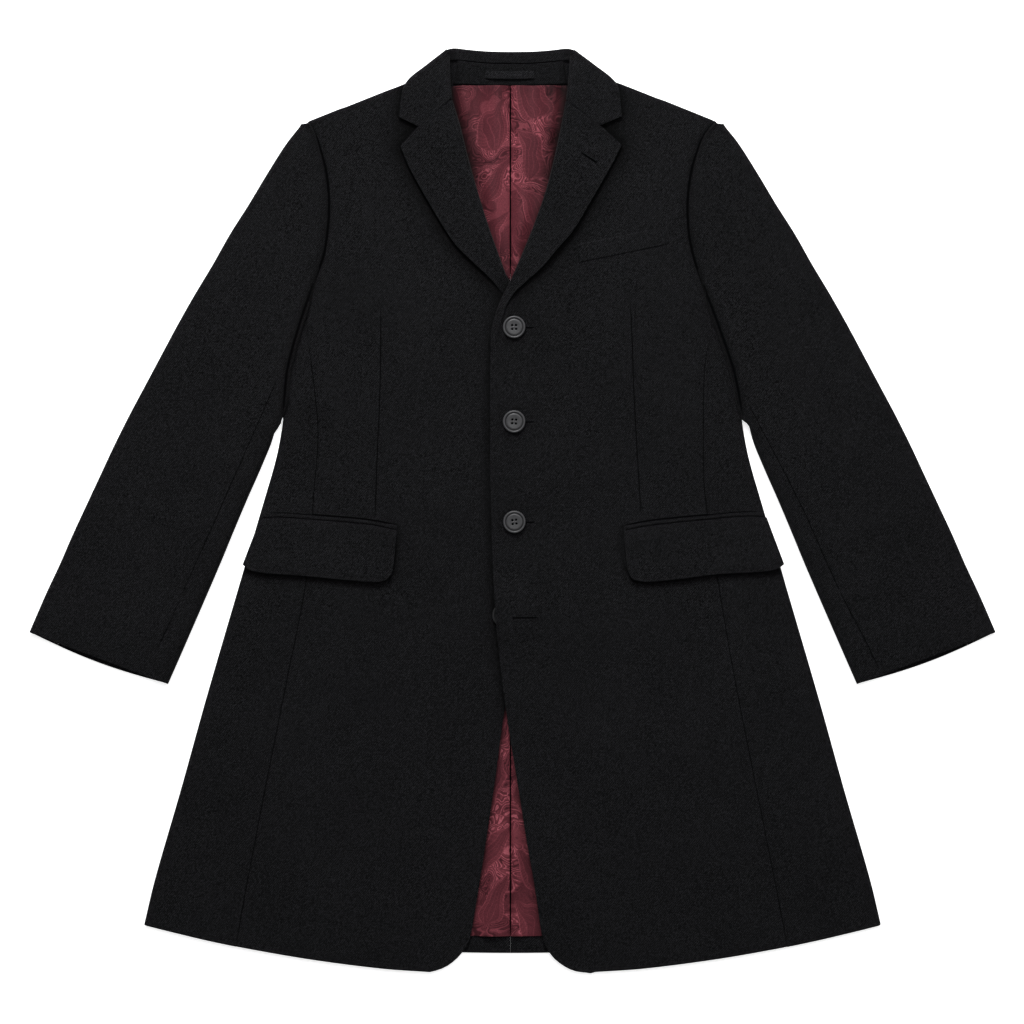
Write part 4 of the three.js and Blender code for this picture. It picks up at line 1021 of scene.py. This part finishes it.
def makeSleeve(side, topName, underName):
    radius = (sleeveTop - backLevel) / 2
    nip = radius + half
    fullReach = 38.0 # width of the opening, where the sleeve is wide enough
    turnAt = 12 # the lower layer turns up here
    outward = Vector((side * 0.348, -0.937, 0)) # past the cuff
    rolled = {
        "top": cornered([(-3.7, 8.9, 0), (-4.5, 9.5, 0), (-4.1, 10.3, 0), (-2.6, 10.9, 0), (0, 11.0, 0),
                         (5, 10.5, 0), (14, 9.2, 0), (26, 8.0, 0), (fullReach, sleeveTop, 0)]),
        "under": cornered([(turnAt, backLevel, 0), (8.6, 1.5, 0), (7, 3.4, 0), (6.2, 6, 0), (4.6, 7.9, 0),
                           (1, 8.15, 0), (-2, 8.2, 0), (-3.4, 8.4, 0)]),
    }
    free = 84 if side < 0 else 97 # from here down the inner edge follows its own table
    last = len(sleeveSections) - 1

    def rowAt(t):
        def col(key):
            return read(sleeveSections, "i", t, key)
        iy = col("iy")
        innerX = armholeAt(side, iy)
        if iy <= pit:
            innerX = mix(innerX, col("ix"), smoothStep(iy, pit, free))
        inner = Vector((side * (innerX + 0.2), iy, 0))
        along = Vector((side * col("ox"), col("oy"), 0)) - inner
        return {
            "inner": inner, "along": along.normalized(), "width": max(along.length, 15),
            "squeeze": along.length / max(along.length, 15),
            "seam": max(nip, col(sideKey(side))), "t": t,
            "fold": smoothStep(t, 4.0, 5.0), "seamShows": smoothStep(t, 7.2, 9.2),
            "roll": smoothStep(t, 4.1, 5.4) * (1 - smoothStep(t, 7.8, 9.4)),
        }

    def reachOf(row):
        return min(fullReach, 0.6 * (row["width"] - nip))

    def innerArc(angle):
        return (nip - radius * math.sin(angle), backLevel + radius * (1 - math.cos(angle)))

    def opening(row, e):
        reach = reachOf(row)
        k = reach / fullReach
        puff = 1.9 * smoothStep(reach * e, 0, 7 * k) * (1 - smoothStep(reach * e, 9 * k, 37 * k))
        sewn = (reach * e, mix(frontLevel - 0.9, sleeveTop, smoothStep(reach * e, 0, 14 * k)) + puff)
        arc = innerArc(math.pi * (0.55 + 0.45 * min(1, e / 0.35)))
        if e > 0.35:
            arc = (mix(nip, reach, (e - 0.35) / 0.65), sleeveTop)
        seam = (mix(row["seam"] + seamGap, reach, e), sleeveTop + sunk(e * 20, 0.3, 3))
        curl = rolled["top"](e)
        fold = [mix(a, b, row["seamShows"]) for a, b in zip(arc, seam)]
        shape = [mix(a, b, row["fold"]) for a, b in zip(sewn, fold)]
        return [mix(a, b, row["roll"]) for a, b in zip(shape, (curl.x * k, curl.y))]

    def closing(row, e):
        sewn = (turnAt * (1 - e), backLevel)
        stop = mix(0.45, 1.0, row["seamShows"])
        if e < 0.2:
            arc = (mix(turnAt, nip, e / 0.2), backLevel)
        else:
            arc = innerArc(math.pi * stop * min(1, (e - 0.2) / 0.55))
            if e > 0.75:
                arc = (arc[0] + (row["seam"] - nip) * row["seamShows"] * (e - 0.75) / 0.25, arc[1])
        curl = rolled["under"](e)
        shape = [mix(a, b, row["fold"]) for a, b in zip(sewn, arc)]
        return [mix(a, b, row["roll"]) for a, b in zip(shape, (curl.x, curl.y))]

    def elbow(row):
        return row["width"] - min(34.0, row["width"] * 0.5)

    def topAt(row, s): # 0 to 1 is the opening, then the flat, the outer fold and the lower layer
        if s <= 1:
            return opening(row, s)
        if s <= 2:
            return [mix(reachOf(row), row["width"] - nip, s - 1), sleeveTop]
        if s <= 3:
            angle = math.pi * (s - 2)
            return [row["width"] - nip + radius * math.sin(angle), backLevel + radius * (1 + math.cos(angle))]
        return [mix(row["width"] - nip, max(nip + 1, elbow(row)) + seamGap / 2, s - 3), backLevel]

    def underAt(row, s):
        if s <= 1:
            return [mix(max(nip + 1, elbow(row)) - seamGap / 2, turnAt, s), backLevel]
        return closing(row, s - 1)

    rows = {t: rowAt(t) for t in evenly(110, 0, last)}

    def placed(sectionAt):
        def place(s, t):
            row = rows[t]
            q, z = sectionAt(row, s)
            q *= row["squeeze"]
            p = row["inner"] + row["along"] * q
            z = mix((sleeveTop + backLevel) / 2, z, mix(0.55, 1, row["squeeze"]))
            if z < backLevel + 1: # the cuff's lower layer shows past the upper one
                share = min(1, max(0, q / row["width"]))
                p += outward * (5 * smoothStep(t, last - 0.5, last) * math.sin(math.pi * share))
            p.z = z + sleeveWave(p.x, p.y) * smoothStep(z, 2.2, frontLevel)
            return p
        return place
    tops = evenly(16) + evenly(34, 1, 2)[1:] + evenly(12, 2, 3)[1:] + evenly(4, 3, 4)[1:]
    unders = evenly(12) + evenly(20, 1, 2)[1:]
    woolPiece(topName, tops, list(rows), placed(topAt), [topName])
    woolPiece(underName, unders, list(rows), placed(underAt), [underName])


# Pockets
def flapRow(side, left, right, higher=0):
    return [{"x": side * p["x"], "y": p["y"] + higher} for p in (left if side > 0 else right)]


def makePocket(side, jettingName, flapName):
    near = line(flapRow(side, leftFlapTop, rightFlapTop))
    far = line(flapRow(side, leftFlapBottom, rightFlapBottom))
    plan = inside(near, far, cornered([near(0), far(0)]), cornered([near(1), far(1)]))

    def flap(u, v):
        p = plan(u, v)
        arch = 0.9 * math.sin(math.pi * v) + 2.0 * smoothStep(v, 0.45, 1.0)
        p.z = turnedLevel + 0.2 + min(1.0, bodyWave(p.x, p.y)) + 0.45 + arch
        p.z -= 0.6 * math.exp(-((v * 60) / 3) ** 2)
        return p
    woolPiece(flapName + "_cloth", evenly(70), evenly(34), flap, [flapName])

    def jetting(u, v):
        p = near(0.985 * u)
        p.y += 0.5 + 5.2 * v
        p.z = 7.5 + bodyWave(p.x, p.y) + 0.5 * math.sin(math.pi * v)
        return p
    woolPiece(jettingName + "_cloth", evenly(70), evenly(8), jetting, [jettingName],
              {"thick": 1.5, "roll": 0.5})


def makeBreastWelt():
    corners = {"lowIn": (74.6, 276.9), "lowOut": (176.6, 298), "topIn": (73, 296.8), "topOut": (172, 316.6)}
    c = {key: Vector((*value, 0)) for key, value in corners.items()}

    def place(u, v):
        p = c["lowIn"].lerp(c["lowOut"], u).lerp(c["topIn"].lerp(c["topOut"], u), v)
        p.z = frontHeight(1, p.x, p.y) + 0.75
        p.z += 0.3 * math.sin(math.pi * v)
        return p
    woolPiece("breast_welt_cloth", evenly(60), evenly(14), place, ["breast_welt"],
              cloth={"thick": 1.9, "roll": 0.6})


# Buttons
buttonSize = {"holeRadius": 1.3, "holeSpread": 2.15}
strandRadius = 0.42
buttonProfile = [
    (0, 0), (10.2, 0), (11.8, 0.9), (12.5, 2.2), (12.4, 3.1), (12.0, 3.7), (11.4, 4.0), (10.7, 3.8),
    (10.2, 3.0), (9.9, 2.3), (9.5, 2.3), (9.1, 2.9), (8.7, 3.3), (7.2, 3.2), (4.5, 2.95), (0, 2.85),
]


def drilled(piece, spots, radius):
    cutter = bmesh.new()
    for x, y in spots:
        cone = bmesh.ops.create_cone(cutter, cap_ends=True, segments=20, radius1=radius * mm,
                                     radius2=radius * mm, depth=0.02)
        bmesh.ops.translate(cutter, verts=cone["verts"], vec=Vector((x, y, 10)) * mm)
    cutterMesh = bpy.data.meshes.new("drill")
    cutter.to_mesh(cutterMesh)
    cutter.free()
    drill = bpy.data.objects.new("drill", cutterMesh)
    bpy.context.scene.collection.objects.link(drill)
    cut = piece.modifiers.new("holes", "BOOLEAN")
    cut.operation = "DIFFERENCE"
    cut.object = drill
    cut.solver = "EXACT"
    depsgraph = bpy.context.evaluated_depsgraph_get()
    whole = bpy.data.meshes.new_from_object(piece.evaluated_get(depsgraph))
    piece.modifiers.clear()
    piece.data = whole
    bpy.data.objects.remove(drill)


def makeButton(name, x, y, under, turn):
    bm = bmesh.new()
    verts = [bm.verts.new((r * mm, 0, z * mm)) for r, z in buttonProfile]
    for a, b in zip(verts, verts[1:]):
        bm.edges.new((a, b))
    bmesh.ops.spin(bm, geom=bm.verts[:] + bm.edges[:], cent=(0, 0, 0), axis=(0, 0, 1), angle=math.tau,
                   steps=64, use_merge=True)
    bmesh.ops.remove_doubles(bm, verts=bm.verts, dist=1e-6)
    bmesh.ops.translate(bm, verts=bm.verts, vec=Vector((x, y + originShift, under)) * mm)
    piece = solidPiece(name + "_turned", bm, greyHorn, [name])
    spread = buttonSize["holeSpread"] * 1.414
    spots = []
    for k in range(4):
        angle = turn + math.pi / 4 + k * math.pi / 2
        spots.append((x + spread * math.cos(angle), y + originShift + spread * math.sin(angle)))
    drilled(piece, spots, buttonSize["holeRadius"])
    # Painted shade: the loose fourth button is painted much darker, the three others a little
    paintedButtonShade = 0.2 if name == "button_4" else 0.92 # the loose button lies in the shade of the front

    # Painted light on each button: a painted shadow in the groove, a painted highlight on the rim, painted
    # shade at its outer edge
    def tone(px, py):
        r = math.dist((px, py), (x, y))
        groove = math.exp(-(((r - 9.75) / 0.42) ** 2))
        rim = 1.0 + 0.45 * smoothStep(r, 10.3, 10.8) - 0.55 * smoothStep(r, 11.9, 12.6)
        return paintedButtonShade * rim * (1 - 0.85 * groove)
    paint(piece, tone)
    thread = bmesh.new()
    for a, b in ((spots[0], spots[1]), (spots[2], spots[3])):
        angle = math.atan2(b[1] - a[1], b[0] - a[0])
        along = Vector((math.cos(angle), math.sin(angle), 0))
        laid = Vector((0, 0, 1)).rotation_difference(along).to_matrix()
        for k in (-0.3, 0.3):
            strand = bmesh.ops.create_cone(thread, cap_ends=True, segments=10, radius1=strandRadius * mm,
                                           radius2=strandRadius * mm, depth=math.dist(a, b) * mm)
            bmesh.ops.rotate(thread, verts=strand["verts"], cent=(0, 0, 0), matrix=laid)
            middle = Vector(((a[0] + b[0]) / 2 - k * math.sin(angle),
                             (a[1] + b[1]) / 2 + k * math.cos(angle), under + 2.4))
            bmesh.ops.translate(thread, verts=strand["verts"], vec=middle * mm)
    solidPiece(name + "_thread", thread, blackThreadAndShade)


# A narrow near-black strip in the ditch of a seam: painted shade for the seam's shadowed groove, partly its
# dark thread
def makeShadeStrip(name, path, wide, heightAt):
    bm = bmesh.new()
    bmesh.ops.create_grid(bm, x_segments=len(path) - 1, y_segments=2, size=0.5)
    for vert in bm.verts:
        i = round((vert.co.x + 0.5) * (len(path) - 1))
        before, after = path[max(0, i - 1)], path[min(len(path) - 1, i + 1)]
        along = (after - before).normalized()
        ends = min(1, 0.2 + min(i, len(path) - 1 - i) / 6)
        p = path[i] + Vector((-along.y, along.x, 0)) * vert.co.y * wide * ends
        p.z = heightAt(p.x, p.y) + half + 0.12 - 0.3 * abs(vert.co.y)
        vert.co = (p + Vector((0, originShift, 0))) * mm
    solidPiece(name, bm, blackThreadAndShade)


def topOf(*pieces): # height of the uppermost of some pieces
    meshes = [piece.data for piece in pieces]
    trees = [BVHTree.FromPolygons([v.co for v in mesh.vertices], [f.vertices for f in mesh.polygons])
             for mesh in meshes]

    def height(x, y):
        above = Vector((x * mm, (y + originShift) * mm, 1))
        hits = [tree.ray_cast(above, Vector((0, 0, -1)))[0] for tree in trees]
        return max([hit.z / mm for hit in hits if hit] or [frontLevel])
    return height


# Worked buttonholes: a raised ring of thread round a slit
def makeButtonhole(name, a, b, eyelet=0, raised=0.15):
    a, b = Vector((*a, 0)), Vector((*b, 0))
    along = (b - a).normalized()
    beside = Vector((-along.y, along.x, 0))
    reach = (b - a).length

    def outline(share):
        angle = share * math.tau
        x = math.cos(angle)
        y = math.sin(angle)
        long = reach / 2 * (abs(x) ** 0.35) * (1 if x > 0 else -1)
        wide = 0.4 + (eyelet * smoothStep(-x, 0.55, 0.95))
        return (a + b) / 2 + along * long + beside * wide * y

    def place(u, v):
        p = outline(u)
        q = outline(u + 0.001)
        out = Vector((q.y - p.y, p.x - q.x, 0))
        out = out.normalized() if out.length else beside
        angle = v * math.tau
        p = p + out * 0.36 * math.cos(angle)
        p.z = frontHeight(1, p.x, p.y) + half + raised + 0.3 * math.sin(angle)
        return p
    bm = bmesh.new()
    bmesh.ops.create_grid(bm, x_segments=64, y_segments=8, size=0.5)
    for vert in bm.verts:
        vert.co = (place(vert.co.x + 0.5, vert.co.y + 0.5) + Vector((0, originShift, 0))) * mm
    bmesh.ops.remove_doubles(bm, verts=bm.verts, dist=1e-6)
    solidPiece(name, bm, blackThreadAndShade)


makeBack(-1, "back_right")
makeBack(1, "back_left")
makeBackLining(-1, "back_lining_right")
makeBackLining(1, "back_lining_left")
print("back and lining made")
makeSidePanel(-1, "side_panel_right", "side_strip_right")
makeSidePanel(1, "side_panel_left", "side_strip_left")
makeFront(-1, "front_right")
makeFront(1, "front_left")
makeLapel(-1, "lapel_right")
makeLapel(1, "lapel_left")
print("fronts and lapels made")
makeLeaf(-1, "collar_leaf_right", ["collar"])
makeLeaf(1, "collar_leaf_left", [])
makeNeck()
makeSleeve(-1, "top_sleeve_right", "under_sleeve_right")
makeSleeve(1, "top_sleeve_left", "under_sleeve_left")
print("collar and sleeves made")
makePocket(-1, "jetting_right", "flap_right")
makePocket(1, "jetting_left", "flap_left")
makeBreastWelt()
fastened = table("name x y turn", [
    ("button_1", 1.8, 204.3, 0.04), ("button_2", 1.8, 98.8, -0.06), ("button_3", 2.1, -13.3, 0.1),
])
for spot in fastened:
    under = frontHeight(1, spot["x"], spot["y"]) + half + 0.35
    makeButton(spot["name"], spot["x"], spot["y"], under, spot["turn"])
    inner, outer = (spot["x"] + 3, spot["y"] - 0.5), (24.2, spot["y"] - 0.3)
    makeButtonhole("buttonhole_" + spot["name"][-1], inner, outer)
under = frontHeight(-1, looseButton["x"], looseButton["y"]) + half + 0.2
makeButton("button_4", looseButton["x"], looseButton["y"], under, 0.3)
makeButtonhole("buttonhole_4", (-0.1, slitHeight), (29, slitHeight), eyelet=0.5)
makeButtonhole("lapel_buttonhole", (77, 399), (94, 388.2), raised=5.6)
print("pockets and buttons made")

# Painted shade beside the edges, and near-black strips in the seams: painted shade in their grooves, partly
# their dark thread
rightSleeveSeam = table("x y", [
    (-261.1, 150.2), (-297.1, 68.6), (-331.6, -9.8), (-359.8, -72.5), (-388.1, -136.8), (-408.5, -177),
])
leftSleeveSeam = table("x y", [
    (262, 122), (271.8, 103.1), (307.9, 34.2), (328.3, -6.6), (345.5, -45.8), (365.9, -91.3),
    (394.1, -144.6), (409.8, -178),
])
# Painted shade beside the left front's edge, where it lies over the right front
closureShade = shadeLine(pointsOn(line(leftEdge[4:]), 200), 6, 0.75)
for side in (-1, 1):
    key = sideKey(side)

    def onFront(x, y, side=side):
        return frontHeight(side, x, y)
    lapelEdge = line(leftLapelEdge + leftLapelTop[1:2] if side > 0 else rightLapelEdge + rightLapelTop[1:2])
    leafEdge = line(points(collarLeafFront, side)[1:] + points(collarLeafEdge, side)[1:3])
    rollEdge = line(leftRoll if side > 0 else rightRoll)
    armEdge = [Vector((side * armholeAt(side, y), y, 0)) for y in evenly(90, 110, 434)]
    flapEdge = line(flapRow(side, leftFlapTop, rightFlapTop)[:1]
                    + flapRow(side, leftFlapBottom, rightFlapBottom))
    # Painted shade on the fronts and side panels beside the lapels, collar leaves, armholes and flaps, and a
    # painted shadow round each button
    lapelShade = shadeLine(pointsOn(lapelEdge, 90, 90), 11.5, 0.86)
    leafShade = shadeLine(pointsOn(leafEdge, 50), 7.5, 0.75)
    armShade = shadeLine(armEdge, 2.6, 0.6)
    flapShade = shadeLine(pointsOn(flapEdge, 90), 4, 0.8)
    near = [lapelShade, leafShade, armShade, flapShade]
    if side < 0:
        near.append(closureShade)
    buttonShade = []
    if side > 0:
        buttonShade = [shadeLine([Vector((b["x"], b["y"], 0))], 15.5, 0.45) for b in fastened]
    for name in ["front_" + key, "side_strip_" + key, "side_panel_" + key]:
        lines = near + buttonShade if name.startswith("front") else [armShade, flapShade]
        paint(made[name], lambda x, y: shadeOf(x, y, lines))
    # Painted shade on the lapels beside the collar's notch, and on the right lapel's foot beside the left
    # front's edge
    notchShade = shadeLine(pointsOn(leafEdge, 50, 9), 3.5, 0.5)
    footShades = [notchShade, closureShade] if side < 0 else [notchShade] # the left front's edge lies over the right foot
    paint(made["lapel_" + key], lambda x, y: shadeOf(x, y, footShades if y < breakHeight else [notchShade]))
    # Painted shade on the sleeves along the armhole and along the inner edge where they roll over the body
    innerEdge = [Vector((side * row["ix"], row["iy"], 0)) for row in sleeveSections if row["iy"] < 100]
    sleeveShades = [shadeLine(armEdge, 3.5, 0.7), shadeLine(innerEdge, 7, 0.5 if side < 0 else 0.35)]
    for name in ["top_sleeve_" + key, "under_sleeve_" + key]:
        paint(made[name], lambda x, y: shadeOf(x, y, sleeveShades))
    # Near-black strips along the sleeve's seam and the armhole: painted shade in their grooves
    sleeveHeight = topOf(made["top_sleeve_" + key], made["under_sleeve_" + key])
    sleeveSeam = leftSleeveSeam if side > 0 else rightSleeveSeam
    seamPath = samples([Vector((p["x"], p["y"], 0)) for p in sleeveSeam], 3)
    makeShadeStrip("sleeve_seam_shade_" + key, seamPath, 0.9, lambda x, y: sleeveHeight(x, y) + 0.05)
    edgeHeight = topOf(*[made[name + key] for name in ("top_sleeve_", "front_", "side_strip_")])
    makeShadeStrip("armhole_seam_shade_" + key, armEdge, 2.6, lambda x, y: edgeHeight(x, y) + 0.1)
    # Painted shade on the lining: beside the lapels' roll lines, darkest at the top of the V, beside the
    # skirts' edges and near the stand
    rolled = pointsOn(rollEdge, 90)
    inner = shadeLine(rolled, 8, 0.72)
    upper = shadeLine([p for p in rolled if p.y > 372], 16, 0.9)
    skirt = line((leftEdge if side > 0 else rightEdge)[3:10])
    skirtShade = shadeLine(pointsOn(skirt, 90), 6, 0.55)
    neckShade = shadeLine([Vector((x, liningTop, 0)) for x in standEnds], 26, 0.36)
    paint(made["back_lining_" + key], lambda x, y: shadeOf(x, y, [inner, upper, skirtShade, neckShade]))

    # Near-black strips above the jetting, along the flap's top, along the dart and along the side seam:
    # painted shade in their grooves
    flapTop = line(flapRow(side, leftFlapTop, rightFlapTop, 6.4))
    pocketHeight = topOf(made["front_" + key], made["flap_" + key + "_cloth"],
                         made["jetting_" + key + "_cloth"])
    makeShadeStrip("jetting_seam_shade_" + key, pointsOn(flapTop, 80, 79), 1.7, lambda x, y: pocketHeight(x, y) + 0.1)
    hinge = line(flapRow(side, leftFlapTop, rightFlapTop, 0.35))
    makeShadeStrip("flap_seam_shade_" + key, pointsOn(hinge, 80, 80), 2.3, lambda x, y: pocketHeight(x, y) + 0.1)
    dart = leftDart if side > 0 else rightDart
    dartPath = [Vector((read(dart, "y", y, "x"), y, 0)) for y in evenly(60, dart[0]["y"], 233)]
    makeShadeStrip("dart_seam_shade_" + key, dartPath, 1.0, lambda x, y: onFront(x, y) - 0.35)
    seamFoot = read(frontHem, "x", 303, "y") + 1
    seamPath = [Vector((side * frontSeam(side, y), y, 0)) for y in evenly(100, seamFoot, 198)]
    makeShadeStrip("side_seam_shade_" + key, seamPath, 0.85, lambda x, y: onFront(x, y) - 0.3)
# Painted shade on the stand and the neck's fold, darker towards their ends beside the collar leaves; the
# stand painted darker all over
paint(made["collar_stand_cloth"], lambda x, y: 0.8 - 0.5 * smoothStep(abs(x + 3), 52, 66))
paint(made["collar_neck"], lambda x, y: 0.95 - 0.45 * smoothStep(abs(x + 3), 56, 72))
# Painted sheen: the hanger loop's wool is painted brighter than the rest
paint(made["hanger_loop_cloth"], lambda x, y: 1.4)
liningHeight = topOf(made["back_lining_right"], made["back_lining_left"])
standHeight = topOf(made["collar_stand_cloth"], made["collar_neck"])
# A near-black strip along the stand's seam: painted shade in its groove
standSeam = line([{"x": p["x"] * standShare, "y": p["y"] - standSeamDrop} for p in collarFold[1:-1]])
makeShadeStrip("stand_seam_shade", pointsOn(standSeam, 60), 1.0, lambda x, y: standHeight(x, y) + 0.1)
# The near-black strip down the lining's centre seam, painted shade in its groove and partly its thread, shows
# above and below the closed fronts, and stops clear of them
closedFrom = -206
closedTo = 264
liningSeams = {
    "lining_seam_shade_low": (backHem(centreX) + liningRise, closedFrom),
    "lining_seam_shade_top": (closedTo, liningTop - 0.8),
}
for name, (low, high) in liningSeams.items():
    centreSeam = [Vector((centreX, y, 0)) for y in evenly(90, low, high)]
    makeShadeStrip(name, centreSeam, 1.5, lambda x, y: liningHeight(x, y) + 0.15)
# Near-black strips along the buttonholes' slits: painted shade in the openings
for spot in fastened:
    slit = [Vector((spot["x"] + 11 + k * 1.2, spot["y"] - 0.3, 0)) for k in range(10)]
    makeShadeStrip("slitShade_" + spot["name"][-1], slit, 1.1, slitTop)
makeShadeStrip("slitShade_4", [Vector((1 + k * 2.3, slitHeight, 0)) for k in range(12)], 1.0, slitTop)
# A near-black strip along the breast welt's lower seam and inner end: painted shade in the groove
welt = [Vector((72.6, 297, 0))] + [Vector((74.2 + 102.6 * k / 8, 276.6 + 21.2 * k / 8, 0)) for k in range(9)]
makeShadeStrip("welt_seam_shade", samples(welt, 3), 0.75, lambda x, y: frontHeight(1, x, y) + 0.2)
print("shades and seams made")
